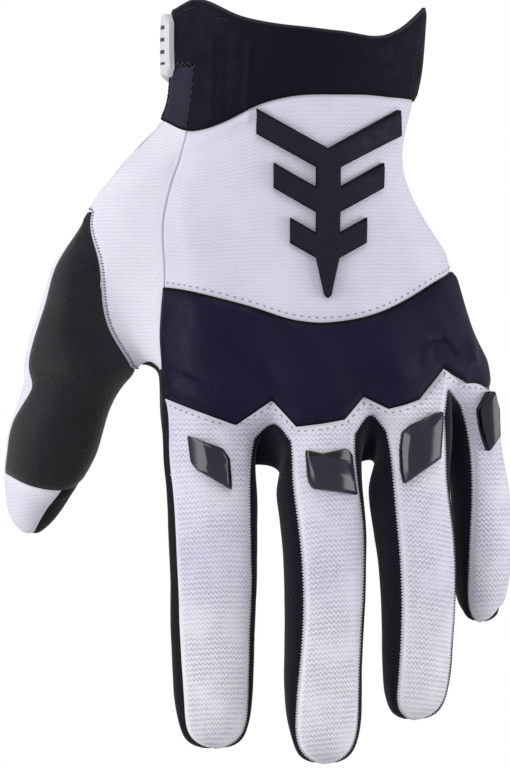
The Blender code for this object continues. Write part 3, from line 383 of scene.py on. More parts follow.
class Cage:
    """Quads between named points. Each quad has the name of the panel that it belongs to."""

    def __init__(self):
        self.index, self.points, self.quads, self.panels = {}, [], [], []
        self.corners = []  # the points where the knuckle band's lower edge turns sharply

    def put(self, key, point):
        self.index[key] = len(self.points)
        self.points.append(np.array(point, float))

    def at(self, key):
        return self.points[self.index[key]]

    def quad(self, panel, *keys):
        self.quads.append([self.index[k] for k in keys])
        self.panels.append(panel)


def finger_centre(finger, station):
    f = FINGERS[finger]
    base_drop = THUMB_CROTCH_DROP if finger == "thumb" else f["drop"] * HAND_LENGTH
    return np.array(
        [
            f["across"] * HAND_WIDTH + station["lean"] * f["width"],
            f["back"] * HAND_DEPTH + station["curl"] * FINGER_CURL,
            -CUFF_HEIGHT - base_drop - station["share"] * f["length"],
        ]
    )


def finger_ring(finger, number):
    """The eight points of a finger's ring: its back panel's two seams and middle, the middles of the two
    sides, and the same on the palm side."""
    f = FINGERS[finger]
    s = named(STATION_NAMES, f["stations"][number])
    centre = finger_centre(finger, s)
    left, right, roll = s["seam_left"], s["seam_right"], f["roll"]
    palm_left, palm_right = roll - 180 + PALM_SEAM, min(roll + 180 - PALM_SEAM, PALM_SEAM_MOST)
    angles = {
        "0": left,
        "1": (left + right) / 2,
        "2": right,
        "right": (right + palm_right) / 2,
        "2p": palm_right,
        "1p": roll + 180,
        "0p": palm_left,
        "left": (left + palm_left) / 2,
    }
    slope = THUMB_WEB_SLOPE if finger == "thumb" else WEB_SLOPE
    sink = slope * max(0.0, 1 - s["share"] / SLOPE_REACH)
    ring = {}
    for name, angle in angles.items():
        point = oval(centre, s["wide"] * f["width"] / 2, s["deep"] * f["depth"] / 2, roll, angle)
        point[2] -= sink * (1 - math.cos(math.radians(angle - roll))) / 2
        ring[name] = point
    if finger == "thumb" and number == THUMB_PANEL_END:
        for name, slant in zip(("0", "1", "2"), THUMB_PANEL_SLANT):
            ring[name][2] -= slant * f["length"]
    return ring


def wrist_point(name, palm, width, depth, shift):
    angle = WRIST_ANGLES[name]
    x = shift * CUFF_WIDTH + width * CUFF_WIDTH / 2 * math.sin(math.radians(angle))
    y = depth * CUFF_DEPTH / 2 * math.cos(math.radians(angle))
    return x, (y if palm else -y)


def ring_keys():
    """The columns right round the hand, from the thumb's edge over the back and round by the palm."""
    return (
        [("SL", False)]
        + [(name, False) for name in BACK_COLUMNS]
        + [("SR", False)]
        + [(name, True) for name in reversed(BACK_COLUMNS)]
    )


def put_cuff(cage):
    for row, (heights, width, depth, shift, palm_height) in CUFF_ROWS.items():
        for name, palm in ring_keys():
            x, y = wrist_point(name, palm, width, depth, shift)
            knots = [wrist_point(k, False, width, depth, shift)[0] for k in CUFF_KNOTS]
            height = hermite(x, knots, heights)
            if palm:
                share = abs(y) / (depth * CUFF_DEPTH / 2)
                height = blend(height, palm_height, share)
            cage.put((row, name, palm), (x, y, -CUFF_HEIGHT + height * CUFF_HEIGHT))


def knuckle_faces(name):
    across, drop, back, palm = KNUCKLES[name]
    return across * HAND_WIDTH, drop, back * HAND_DEPTH, palm * HAND_DEPTH


def right_edge():
    across, drop, back = RIGHT_EDGE
    return across * HAND_WIDTH, drop, back * HAND_DEPTH


def put_hand_rows(cage):
    """The rows between the cuff and the fork of the thumb: the wrist's oval turns into the knuckles'
    section, with the thumb's root at its left."""
    knuckle_left = KNUCKLES["I0"][0] * HAND_WIDTH
    knuckle_right, _, edge_y = right_edge()
    _, width, depth, shift, _ = CUFF_ROWS["cuff_seam"]
    wrist_left = wrist_point("I0", False, width, depth, shift)[0]
    wrist_right = wrist_point("SR", False, width, depth, shift)[0]
    for row, values in ROWS.items():
        r = named(ROW_NAMES, values)
        root = named(ROOT_NAMES, THUMB_ROOT[row])
        left, back_seam, right = (s * HAND_WIDTH for s in (root["SL"][0], r["back_seam"], r["right"]))
        knots = [left, back_seam] + [blend(back_seam, right, s) for s in (0.25, 0.5, 0.75)] + [right]
        for name, palm in ring_keys():
            wrist_x, wrist_y = wrist_point(name, palm, width, depth, shift)
            if name in HAND_COLUMNS or name == "SR":
                if name == "SR":
                    knuckle_x, knuckle_y = knuckle_right, edge_y
                else:
                    knuckle_x, _, back, face = knuckle_faces(name)
                    knuckle_y = face if palm else back
                at_wrist = (wrist_x - wrist_left) / (wrist_right - wrist_left)
                at_knuckle = (knuckle_x - knuckle_left) / (knuckle_right - knuckle_left)
                x = blend(back_seam, right, blend(at_wrist, at_knuckle, r["spread"]))
                y = blend(wrist_y, knuckle_y, r["spread"]) * r["depth"]
                if palm:
                    y += THUMB_BALL.get(name, 0.0) * BALL_SHARES[row] * HAND_DEPTH
            else:
                across, back = root[name + " palm" if palm else name]
                x, y = across * HAND_WIDTH, back * HAND_DEPTH
            height = seam_height(hermite(x, knots, r["drops"]))
            if palm:
                height = blend(height, seam_height(r["palm_drop"]), PALM_DROP_WEIGHT)
            cage.put((row, name, palm), (x, y, height))


def put_thumb_fork(cage, thumb_ring):
    """The row at the fork of the thumb, with the web's middle point between the two palms."""
    names = {"SL": "left", "T0": "0", "T1": "1", "T2": "2"}
    for name, side in names.items():
        cage.put(("fork", name, False), thumb_ring[side])
        if name != "SL":
            cage.put(("fork", name, True), thumb_ring[side + "p"])
    fork = -CUFF_HEIGHT - THUMB_CROTCH_DROP
    for name in HAND_COLUMNS:
        x, drop, back, face = knuckle_faces(name)
        above = cage.at(("band_middle", name, False))
        x = blend(x, above[0], FORK_NARROWING)
        cage.put(("fork", name, False), (x, back, blend(above[2], seam_height(drop), FORK_DESCENT)))
        cage.put(("fork", name, True), (x, face, blend(fork, seam_height(PALM_FORK_DROP), 0.5)))
    x, drop, y = right_edge()
    height = blend(cage.at(("band_middle", "SR", False))[2], seam_height(drop), RIGHT_FORK_DESCENT)
    cage.put(("fork", "SR", False), (x * RIGHT_FORK_WIDTH, y, height))
    for palm in (False, True):
        a, b = cage.at(("fork", "T2", palm)), cage.at(("fork", "I0", palm))
        cage.put(("fork", "A", palm), blend(a, b, 0.5) + np.array([0, 0, THUMB_WEB_LIFT]))
    thumb_side = thumb_ring["right"]
    hand_side = (cage.at(("fork", "I0", False)) + cage.at(("fork", "I0", True))) / 2
    cage.put(("fork", "thumb_side", False), thumb_side)
    cage.put(("fork", "hand_side", False), hand_side - np.array([HAND_SIDE_BULGE, 0, 0]))
    web = blend(thumb_side, hand_side, 0.5)
    cage.put(("fork", "A_middle", False), web + np.array([0, 0, THUMB_WEB_LIFT]))


def put_band_foot(cage):
    for name in HAND_COLUMNS:
        x, drop, back, face = knuckle_faces(name)
        cage.put(("band_foot", name, False), (x, back, seam_height(drop)))
        cage.put(("band_foot", name, True), (x, face, seam_height(blend(drop, 1.0, PALM_FOOT_SHARE))))
    x, drop, y = right_edge()
    cage.put(("band_foot", "SR", False), (x, y, seam_height(drop)))
    side_x, side_y, _ = cage.at(("fork", "hand_side", False))
    side = (side_x + HAND_SIDE_BULGE / 2, side_y, seam_height(INDEX_SIDE_DROP))
    cage.put(("band_foot", "hand_side", False), side)


def put_finger_forks(cage, rings):
    """The row where the hand ends: each finger's first ring, and between two of them the web's nine
    points, of which the middle row lies deepest between the fingers."""
    for finger in FINGER_NAMES:
        letter, ring = LETTERS[finger], rings[finger][0]
        for number in "012":
            cage.put(("webs", letter + number, False), ring[number])
            cage.put(("webs", letter + number, True), ring[number + "p"])
        cage.put(("webs", letter + "left", False), ring["left"])
        cage.put(("webs", letter + "right", False), ring["right"])
    for web, (a, b) in zip(WEBS, zip("IMR", "MRL")):
        back_lift, lift, outwards = (share * HAND_LENGTH for share in WEB_LIFTS[web])
        back = (cage.at(("webs", a + "2", False)) + cage.at(("webs", b + "0", False))) / 2
        face = (cage.at(("webs", a + "2", True)) + cage.at(("webs", b + "0", True))) / 2
        middle = (cage.at(("webs", a + "right", False)) + cage.at(("webs", b + "left", False))) / 2
        cage.put(("webs", web, False), back + np.array([0, -outwards, back_lift]))
        cage.put(("webs", web, True), face + np.array([0, 0, lift / 2]))
        cage.put(("webs", web + "_middle", False), middle + np.array([0, 0, lift]))


def put_fingers(cage, rings):
    for finger, stations in rings.items():
        for number, ring in enumerate(stations[1:], 1):
            for name, point in ring.items():
                cage.put((finger, number, name), point)
        tip = dict(named(STATION_NAMES, FINGERS[finger]["stations"][-1]))
        tip["share"], tip["curl"] = 1.0, 1.0
        cage.put((finger, "tip"), finger_centre(finger, tip))


def finger_at(left):
    """The finger above which a quad on the hand lies, from its left column."""
    columns = ["side"] + HAND_COLUMNS + ["SR"]
    return FINGER_NAMES[columns.index(left) // 4]


def back_panel(row, left):
    """The panel that a quad on the back belongs to, from the row above it and its left column."""
    on_thumb = left in ("SL", "T0", "T1")
    if row == "rim" or (row == "cuff_middle" and left not in THUMB_COLUMNS + ["SL"]):
        return "cuff"
    if row == "cuff_middle":
        return "cuff_gusset"
    if on_thumb:
        if row in ("cuff_seam", "neck"):
            return "thumb_gusset"
        return "thumb_back" if left == "SL" else "thumb_panel"
    if left in ("T2", "A"):
        return "thumb_gusset"
    if row in ("cuff_seam", "neck", "heel", "back"):
        return "hand_back"
    if row in ("band_top", "band_middle", "fork"):
        return "knuckle_band"
    return f"finger_back_{finger_at(left)}"


def palm_panel(row, left):
    if row in ("rim", "cuff_middle"):
        return "cuff"
    if left in ("SL", "T0", "T1") and row not in ("cuff_seam", "neck"):
        return "thumb_palm"
    return "palm"


def join_hand(cage):
    """Quads between the rows, from the rim down to the fork of the thumb."""
    rows = list(CUFF_ROWS) + list(ROWS) + ["fork"]
    back = ["SL"] + BACK_COLUMNS + ["SR"]
    for upper, lower in zip(rows, rows[1:]):
        for left, right in zip(back, back[1:]):
            corner = [(upper, left), (lower, left), (lower, right), (upper, right)]
            cage.quad(back_panel(upper, left), *[(*key, False) for key in corner])
            palm = [(row, name, name not in ("SL", "SR")) for row, name in reversed(corner)]
            cage.quad(palm_panel(upper, left), *palm)


def side_key(row, name, palm):
    """The name in the cage of a point of this row, where both sides' ends have names of their own."""
    if name == "side":
        return (row, "Ileft" if row == "webs" else "hand_side", False)
    if name == "SR":
        return (row, "Lright" if row == "webs" else "SR", False)
    return (row, name, palm)


def join_forked_hand(cage):
    """Quads below the fork of the thumb: round the hand down to the webs."""
    rows = ["fork", "band_foot", "webs"]
    back = ["side"] + HAND_COLUMNS + ["SR"]
    for upper, lower in zip(rows, rows[1:]):
        for left, right in zip(back, back[1:]):
            panel = "palm" if left == "side" else back_panel(upper, left)
            corner = [(upper, left), (lower, left), (lower, right), (upper, right)]
            cage.quad(panel, *[side_key(row, name, False) for row, name in corner])
            cage.quad("palm", *[side_key(row, name, True) for row, name in reversed(corner)])


def join_web(cage, row, a, b, web, side_a, side_b, back_name, palm_name):
    """The web between two digits: two by two quads from the back to the palm."""
    backs = [(row, a + "2", False), (row, web, False), (row, b + "0", False)]
    middles = [(row, side_a, False), (row, web + "_middle", False), (row, side_b, False)]
    palms = [(row, a + "2", True), (row, web, True), (row, b + "0", True)]
    for upper, lower, panel in ((backs, middles, back_name), (middles, palms, palm_name)):
        for i in range(2):
            cage.quad(panel, upper[i], lower[i], lower[i + 1], upper[i + 1])


def digit_panels(finger):
    """The panels of a digit's eight strips, from its back's left half and round by its right side."""
    if finger == "thumb":
        return ["thumb_panel"] * 3 + ["thumb_palm"] * 3 + ["thumb_palm", "thumb_back"]
    number = FINGER_NAMES.index(finger)
    back, palm = f"finger_back_{finger}", f"finger_palm_{finger}"
    left = palm if number == 0 else f"fourchette_{FINGER_NAMES[number - 1]}_{finger}"
    if finger == "little":
        return [back] * 3 + [palm] * 3 + [left] * 2
    right = f"fourchette_{finger}_{FINGER_NAMES[number + 1]}"
    return [back] * 2 + [right] * 2 + [palm] * 2 + [left] * 2


def join_digit(cage, finger, first_keys):
    """Quads down a digit from its first ring to its tip, which four quads close."""
    names = ["0", "1", "2", "right", "2p", "1p", "0p", "left"]
    stations = len(FINGERS[finger]["stations"])
    rings = [first_keys] + [[(finger, n, name) for name in names] for n in range(1, stations)]
    for number, (upper, lower) in enumerate(zip(rings, rings[1:]), 1):
        panels = digit_panels(finger)
        if finger == "thumb" and number > THUMB_PANEL_END:
            panels = ["thumb_back"] * 2 + ["thumb_palm"] * 5 + ["thumb_back"]
        for i, panel in enumerate(panels):
            j = (i + 1) % 8
            cage.quad(panel, upper[i], lower[i], lower[j], upper[j])
    last, tip = rings[-1], (finger, "tip")
    ends = digit_panels(finger)
    if finger == "little":
        ends[2] = ends[3]
    if finger == "thumb":
        ends = ["thumb_back"] * 2 + ["thumb_palm"] * 4 + ["thumb_back"] * 2
    for i in range(0, 8, 2):
        cage.quad(ends[i], last[i], tip, last[(i + 2) % 8], last[i + 1])


def build_cage():
    rings = {}
    for name, finger in FINGERS.items():
        rings[name] = [finger_ring(name, number) for number in range(len(finger["stations"]))]
    cage = Cage()
    put_cuff(cage)
    put_hand_rows(cage)
    put_thumb_fork(cage, rings["thumb"][0])
    put_band_foot(cage)
    put_finger_forks(cage, rings)
    put_fingers(cage, rings)
    join_hand(cage)
    join_forked_hand(cage)
    join_web(cage, "fork", "T", "I", "A", "thumb_side", "hand_side", "thumb_gusset", "palm")
    for (a, b), web, names in zip(zip("IMR", "MRL"), WEBS, zip(FINGER_NAMES, FINGER_NAMES[1:])):
        panel = f"fourchette_{names[0]}_{names[1]}"
        join_web(cage, "webs", a, b, web, a + "right", b + "left", panel, panel)
    for finger, letter in LETTERS.items():
        row = "fork" if finger == "thumb" else "webs"
        left, right = ("SL", "thumb_side") if finger == "thumb" else (letter + "left", letter + "right")
        names = [(letter + "0", False), (letter + "1", False), (letter + "2", False), (right, False)]
        names += [(letter + "2", True), (letter + "1", True), (letter + "0", True), (left, False)]
        join_digit(cage, finger, [(row, *name) for name in names])
    corners = ("I0", "I2", "B", "M0", "M2", "C", "R0", "R2", "D", "L0", "L2")
    cage.corners = [cage.index[("band_foot", name, False)] for name in corners]
    return cage


def evaluated(obj):
    graph = bpy.context.evaluated_depsgraph_get()
    graph.update()
    return obj.evaluated_get(graph).to_mesh()


def way_at(angle):
    """The direction at an angle from straight back."""
    return np.array([math.sin(math.radians(angle)), -math.cos(math.radians(angle)), 0.0])


def finger_middle(finger, z):
    """The middle of a finger at a height."""
    stations = [named(STATION_NAMES, s) for s in FINGERS[finger]["stations"]]
    centres = np.array([finger_centre(finger, s) for s in stations])[::-1]
    return np.array([np.interp(z, centres[:, 2], centres[:, axis]) for axis in (0, 1)] + [z])


def badge_grid():
    """The badge as quads of flat points: (across, height)."""
    middle, half = BADGE_ACROSS * HAND_WIDTH, BADGE_SPINE * HAND_WIDTH
    index, flat, quads = {}, [], []

    def spot(x, z):
        key = (round(x, 3), round(z, 3))
        if key not in index:
            index[key] = len(flat)
            flat.append(key)
        return index[key]

    def strip(upper, lower):
        for a, b, c, d in zip(upper, lower, lower[1:], upper[1:]):
            quads.append([spot(*a), spot(*b), spot(*c), spot(*d)])

    previous = None
    for half_width, rise, drop in CHEVRONS:
        slope = rise / half_width
        point = seam_height(drop)
        outer = [blend(half, half_width * HAND_WIDTH, n / ARM_STEPS) for n in range(ARM_STEPS + 1)]
        places = [-x for x in reversed(outer)] + [0.0] + outer
        upper = [(middle + x, point + slope * abs(x)) for x in places]
        lower = [(x, z - BADGE_BAR) for x, z in upper]
        strip(upper, lower)
        if previous:
            strip(previous, upper[ARM_STEPS : ARM_STEPS + 3])
        previous = lower[ARM_STEPS : ARM_STEPS + 3]
    tip = seam_height(BADGE_TIP_DROP)
    ends = [x * BADGE_TIP_SHARE for x in (-half, 0.0, half)]
    strip(previous, [(middle + x, tip + abs(x)) for x in ends])
    return flat, quads


# The seams and the cloth
SEAM_OPENING = 0.08  # half the gap between two sewn panels
SEAM_DIP = 0.5  # how far a panel's edge rolls in
SEAM_ROLL = 1.2  # how wide that roll is
CUFF_RIM_WALL = 1.3  # the cuff thins to this at its edges, over the length below
CUFF_RIM_TAPER = 4.0
CROWN_LENGTH = 3.0  # how far from its edge padding takes to rise
HIT_SHIFTS = (0.0, 0.4, -0.4, 0.8, -0.8, 1.5, -1.5)  # how a ray that slips through a seam is moved
HIT_FACING = 0.05  # how squarely a ray has to meet a face, where 1 is straight on
FIT_ROUNDS = 5  # how many times the cage is moved to fit its smooth surface, and by what share
FIT_SHARE = 0.85
WAVES = ((17.0, 0.30), (7.0, 0.10))  # the cloth's unevenness: how long the waves are, and how high

# Folds and creases on the back: one end (x, z), the other end, the height, and half the width
FOLDS = (
    ((-25.5, -2.0), (-26.0, -26.0), 0.45, 1.3),
    ((-21.0, -2.0), (-21.5, -24.0), -0.25, 1.2),
    ((-14.5, -5.0), (-15.5, -27.0), 0.40, 1.1),
    ((-37.6, -100.9), (-32.5, -101.8), -0.35, 0.8),
    ((-32.5, -101.8), (-25.1, -105.6), -0.45, 0.8),
    ((-36.0, -105.5), (-25.0, -109.5), 0.80, 2.2),
    ((-35.4, -40.0), (-11.2, -26.5), -0.55, 2.6),
    ((38.4, -91.5), (41.6, -91.2), -0.40, 0.9),
    ((41.6, -91.2), (45.1, -95.0), -0.60, 0.8),
    ((36.9, -94.1), (36.3, -98.5), 0.35, 1.3),
    ((40.0, -96.0), (44.0, -100.0), 0.35, 1.8),
    ((49.6, -92.9), (50.4, -98.0), 0.60, 1.2),
    ((20.0, -103.5), (27.5, -101.5), -0.20, 0.9),
)

# How far the tops of the dark strips between the fingers move over the skin, (x, z) in millimetres: the
# cloth is sewn to rounder arches than the cage's few points give
WEB_SHIFTS = {
    "I2": (2.0, 3.0), "B": (1.4, 0.0), "M0": (0.2, 2.2),
    "M2": (0.4, 1.5), "C": (-0.3, 0.0), "R0": (-1.0, 2.6),
    "R2": (0.0, 3.0), "D": (-2.0, 0.3), "L0": (-1.5, 2.0),
}

FINGER_BACKS = [f"finger_back_{finger}" for finger in FINGER_NAMES]
FINGER_PALMS = [f"finger_palm_{finger}" for finger in FINGER_NAMES]
FOURCHETTES = [f"fourchette_{a}_{b}" for a, b in zip(FINGER_NAMES, FINGER_NAMES[1:])]

# The stitches: how long one is, how far apart they start, how thick the thread is, and how far from the
# seam they run. A stitch's points lie at shares of its length, each at its own height over the cloth.
STITCH_SHARES = (0.0, 0.25, 0.5, 0.75, 1.0)
STITCH_LIFTS = (-0.5, 0.5, 0.8, 0.5, -0.5)  # shares of the thread's radius
THREAD_SIDES = 6
THREAD_ENDS = (0.18, 0.82)  # which part of a half wave a thread's thickness follows
STITCH_LENGTH = 1.0
STITCH_PITCH = 2.3
THREAD_RADIUS = 0.18
STITCH_INSET = 1.5
OVERLOCK_PITCH = 0.92
OVERLOCK_REACH = 0.62
OVERLOCK_RADIUS = 0.32
OVERLOCK_SHARES = (-0.45, -0.1, 0.3, 0.7, 1.0)
OVERLOCK_LIFTS = (-0.12, 0.08, 0.14, 0.08, -0.08)
OVERLOCK_UNEVEN = (0.2, 2.3)  # how much the threads' reach varies, and how fast, in radians a thread
GUSSET_INSET = 0.8
ZIGZAG_PITCH = 1.3
ZIGZAG_REACH = 0.9
ZIGZAG_LIFTS = (-0.05, 0.12, 0.16, 0.12, -0.05)
GUSSET_SEAM_CORD = (0.42, 0.3)  # radius, and depth under the skin, of a cord that fills a seam
CUFF_SEAM_CORD = (0.5, 1.0)
FINE_STITCH = (0.9, 1.3, 0.13)  # length, pitch and radius of the finest rows
CUFF_ROWS_OF_STITCHES = (  # the (x, z) that each passes: one down the right side, two under the rim
    ((35.7, 1.8), (35.1, -2.1), (33.9, -8.3), (33.0, -14.2), (32.2, -19.4)),
    ((-34.6, 5.2), (-30.6, 6.2)),
    ((-25.2, 2.8), (-21.8, 2.4)),
)
PATH_STEP = 0.5  # how finely such a row is laid on the cloth

# Each guard's bevels: for each side of its outline, from its first corner on, how wide and how deep
GUARD_FACETS = {
    "index": ((1.2, 0.7), (0.9, 0.6), (1.1, 0.8), (1.0, 0.8), (1.2, 0.9), (5.0, 2.45)),
    "middle": ((4.8, 1.7), (4.8, 1.7), (3.4, 1.2), (1.0, 0.8), (0.9, 0.8), (1.0, 0.8), (1.1, 0.9)),
    "ring": ((2.4, 1.3), (3.0, 1.3), (2.2, 1.0), (0.9, 0.8), (0.9, 0.8), (1.7, 1.2), (2.0, 1.2)),
    "little": ((1.6, 0.9), (1.8, 1.1), (1.4, 1.0), (0.9, 0.8), (0.9, 0.8), (0.8, 0.8), (1.0, 0.8)),
}
GUARD_CORNER = 0.7  # how round the corners of its outline are
# Raised creases across a guard: (across, drop) of both ends as in GUARDS, the height, half the width
GUARD_CREASES = {"index": ((-0.060, 1.172), (0.222, 1.110), 0.28, 0.45)}
RUBBER_SEAT = 0.05  # how high the underside of a moulded piece lies over the cloth
GUARD_REACH = 1.3  # how far from its finger's middle rays to a guard's places start, in widths
GUARD_RIM = ((0.995, 0.35), (0.965, 0.06))  # rings by its rim: a share of its size, how much lower
GUARD_INNER = (0.92, 0.04, 24)  # and inside: the first and last share, and how many
BADGE_BEVEL = 0.9  # how far in from its edge the badge is rounded
BEVEL_DEPTH = 0.9  # how deep a rounded edge is, a share of its width
BADGE_STEPS = 7  # how finely each quad of the badge is divided
STIFF_STRAY = 4.0  # how far from the others a hit may lie that a stiff piece heeds
STIFF_PERCENTILE = 90  # a stiff piece stands clear of this many in a hundred of its hits
CUFF_MIDDLE = -0.01  # how far across the cuff's middle lies, a share of CUFF_WIDTH
# How finely the strap and its tab are divided, round the cuff and across, and their rounded edges
STRAP_GRID, STRAP_BEVEL = (60, 12), 0.5
TAB_GRID, TAB_BEVEL = (40, 24), 1.0

# The camera and its light, in metres
PHOTO_SIZE = (510, 768)
MM_PER_PIXEL = 0.295
ORIGIN_PIXEL = (300, 30)  # where the photograph shows the middle of the wrist opening
CAMERA_DISTANCE = 3.0
SENSOR = 36.0
FLOOR_GAP = 0.06


def values_of(items, field, width, kind=np.float32):
    """A field of many mesh elements as an array, with width numbers for each."""
    values = np.empty(len(items) * width, kind)
    items.foreach_get(field, values)
    return values.reshape(-1, width) if width > 1 else values


def normals_of(points, faces):
    """The normal at each point of a mesh of quads."""
    corner = points[faces]
    normal = np.cross(corner[:, 2] - corner[:, 0], corner[:, 3] - corner[:, 1])
    total = np.zeros_like(points)
    for k in range(4):
        np.add.at(total, faces[:, k], normal)
    return total / np.maximum(np.linalg.norm(total, axis=1), 1e-9)[:, None]


def fitted_cage(cage):
    """The cage as an object with a Subdivision modifier, its points moved so that the smooth surface
    goes through the cage's own points, and the panels' names in the order of its material slots."""
    names = sorted(set(cage.panels))
    target = np.array(cage.points)
    mesh = bpy.data.meshes.new("cage")
    mesh.from_pydata(target.tolist(), [], cage.quads)
    mesh.polygons.foreach_set("material_index", [names.index(p) for p in cage.panels])
    crease = mesh.attributes.new("crease_vert", "FLOAT", "POINT")
    values = np.zeros(len(target), np.float32)
    values[cage.corners] = 1.0
    crease.data.foreach_set("value", values)
    foot = {cage.index[("band_foot", name, False)] for name in HAND_COLUMNS}
    edge_crease = mesh.attributes.new("crease_edge", "FLOAT", "EDGE")
    edge_crease.data.foreach_set("value", [float(set(e.vertices) <= foot) for e in mesh.edges])
    obj = bpy.data.objects.new("cage", mesh)
    bpy.context.scene.collection.objects.link(obj)
    subdivision = obj.modifiers.new("Skin", "SUBSURF")
    subdivision.levels = subdivision.render_levels = 1
    control = target.copy()
    for _ in range(FIT_ROUNDS):
        limit = values_of(evaluated(obj).vertices, "co", 3)[: len(target)]
        obj.to_mesh_clear()
        control += FIT_SHARE * (target - limit)
        mesh.vertices.foreach_set("co", control.astype(np.float32).ravel())
        mesh.update()
    return obj, names


def front_ray(x, z):
    """A ray from in front of the glove straight back."""
    return (x, -2 * HAND_DEPTH, z), (0, 1, 0)


def widen_webs(cage):
    """Moves the tops of the strips between the fingers, along the cage's smooth surface."""
    obj, _ = fitted_cage(cage)
    shown = evaluated(obj)
    points = values_of(shown.vertices, "co", 3)
    quads = values_of(shown.loops, "vertex_index", 1, np.int32)
    tree = BVHTree.FromPolygons(points.tolist(), quads.reshape(-1, 4).tolist())
    bpy.data.objects.remove(obj)
    for name, (x, z) in WEB_SHIFTS.items():
        number = cage.index[("webs", name, False)]
        old = cage.points[number]
        start, way = front_ray(old[0] + x, old[2] + z)
        spot = tree.ray_cast(Vector(start), Vector(way))[0]
        cage.points[number] = tuple(spot)


def folds_at(points, normals):
    """How far the cloth stands off the smooth surface at these points."""
    height = np.zeros(len(points))
    for length, rise in WAVES:
        height += [rise * noise.noise(Vector(p / length)) for p in points]
    flat = points[:, [0, 2]]
    facing = np.clip(-2 * normals[:, 1], 0, 1)
    for a, b, rise, width in FOLDS:
        a, way = np.array(a), np.array(b) - np.array(a)
        along = np.clip((flat - a) @ way / (way @ way), 0, 1)
        gap = np.linalg.norm(flat - a - along[:, None] * way, axis=1)
        height += facing * rise * np.exp(-((gap / width) ** 2))
    return height


class Skin:
    """The glove's surface at one level of subdivision: points, normals, quads and each quad's panel."""

    def __init__(self, obj, names, level):
        subdivision = obj.modifiers["Skin"]
        subdivision.levels = subdivision.render_levels = level
        shown = evaluated(obj)
        self.points = values_of(shown.vertices, "co", 3).astype(float)
        self.faces = values_of(shown.loops, "vertex_index", 1, np.int32).reshape(-1, 4)
        self.panels = np.array(names)[values_of(shown.polygons, "material_index", 1, np.int32)]
        obj.to_mesh_clear()
        normals = normals_of(self.points, self.faces)
        self.points += normals * folds_at(self.points, normals)[:, None]
        self.normals = normals_of(self.points, self.faces)

    def quads_of(self, panels):
        return self.faces[np.isin(self.panels, panels)]


def edges_of(faces):
    return np.concatenate([faces[:, [k, (k + 1) % 4]] for k in range(4)])


def rim_of(faces):
    """The directed edges that only one of these faces has."""
    edges = edges_of(faces)
    size = faces.max() + 1
    there, back = edges[:, 0] * size + edges[:, 1], edges[:, 1] * size + edges[:, 0]
    return edges[~np.isin(there, back)]


def rim_distances(points, rim):
    """Each point's distance from the rim."""
    spots = np.concatenate([points[rim[:, 0]], points[rim].mean(axis=1)])
    tree = KDTree(len(spots))
    for i, spot in enumerate(spots):
        tree.insert(spot, i)
    tree.balance()
    return np.array([tree.find(p)[2] for p in points])


def walled(outer, inner, faces, rim):
    """A closed wall between two sheets of the same faces."""
    count = len(outer)
    sides = np.column_stack([rim[:, 1], rim[:, 0], rim[:, 0] + count, rim[:, 1] + count])
    return np.concatenate([outer, inner]), np.concatenate([faces, faces[:, ::-1] + count, sides])


class Patch:
    """The part of the skin that some panels cover. edge is each point's distance from its rim."""

    def __init__(self, skin, panels):
        kept = np.isin(skin.panels, panels)
        used, index = np.unique(skin.faces[kept], return_inverse=True)
        self.faces = index.reshape(-1, 4)
        self.owners = np.empty(len(used), skin.panels.dtype)
        self.owners[self.faces] = skin.panels[kept][:, None]
        self.normals = skin.normals[used]
        self.rim = rim_of(self.faces)
        self.points = self.pulled_in(skin.points[used], SEAM_OPENING)
        self.edge = rim_distances(self.points, self.rim)

    def pulled_in(self, points, distance):
        a, b = self.rim.T
        inward = np.zeros_like(points)
        for v in (a, b):
            side = np.cross(self.normals[v], points[b] - points[a])
            np.add.at(inward, v, side / np.maximum(np.linalg.norm(side, axis=1), 1e-9)[:, None])
        length = np.linalg.norm(inward, axis=1)[:, None]
        steps = distance / np.maximum(length / 2, 0.5)
        return points + inward / np.maximum(length, 1e-9) * steps

    def lifted(self, heights):
        """The patch's points at these heights above the skin."""
        return self.points + self.normals * heights[:, None]


class Surface:
    """The panels' outer faces together, which the rubber pieces and the thread lie on."""

    def __init__(self):
        self.points, self.normals, self.triangles, self.count = [], [], [], 0

    def add(self, points, faces):
        self.points.append(points)
        self.normals.append(normals_of(points, faces))
        self.triangles.append(np.concatenate([faces[:, [0, 1, 2]], faces[:, [0, 2, 3]]]) + self.count)
        self.count += len(points)

    def close(self):
        self.points, self.normals = np.concatenate(self.points), np.concatenate(self.normals)
        self.triangles = np.concatenate(self.triangles)
        self.tree = BVHTree.FromPolygons(self.points.tolist(), self.triangles.tolist())

    def smooth_normal(self, point, index):
        corners = self.triangles[index]
        weights = poly_3d_calc([Vector(self.points[c]) for c in corners], point)
        normal = np.array(weights) @ self.normals[corners]
        return normal / np.linalg.norm(normal)

    def hit(self, start, way):
        """Where a ray first meets the panels. One that slips through a seam is moved a little."""
        for shift in HIT_SHIFTS:
            moved = Vector(start) + Vector((0, 0, shift))
            point, _, index, _ = self.tree.ray_cast(moved, Vector(way))
            if point is None:
                continue
            normal = self.smooth_normal(point, index)
            if normal @ way < -HIT_FACING:
                return np.array(point), normal
        return self.nearest(start)

    def nearest(self, spot):
        point, _, index, _ = self.tree.find_nearest(Vector(spot))
        return np.array(point), self.smooth_normal(point, index)


def new_piece(name, points, faces, material, nodes=(), sharp=50):
    """A piece of the glove from points in millimetres, riding on the model's one body."""
    mesh = bpy.data.meshes.new(name)
    mesh.from_pydata((np.asarray(points) * MM).tolist(), [], [list(f) for f in faces])
    mesh.materials.append(material)
    mesh.shade_smooth()
    mesh.set_sharp_from_angle(angle=math.radians(sharp))
    obj = bpy.data.objects.new(name, mesh)
    bpy.context.scene.collection.objects.link(obj)
    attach(obj, "root")
    if nodes:
        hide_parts(*nodes)
    return obj


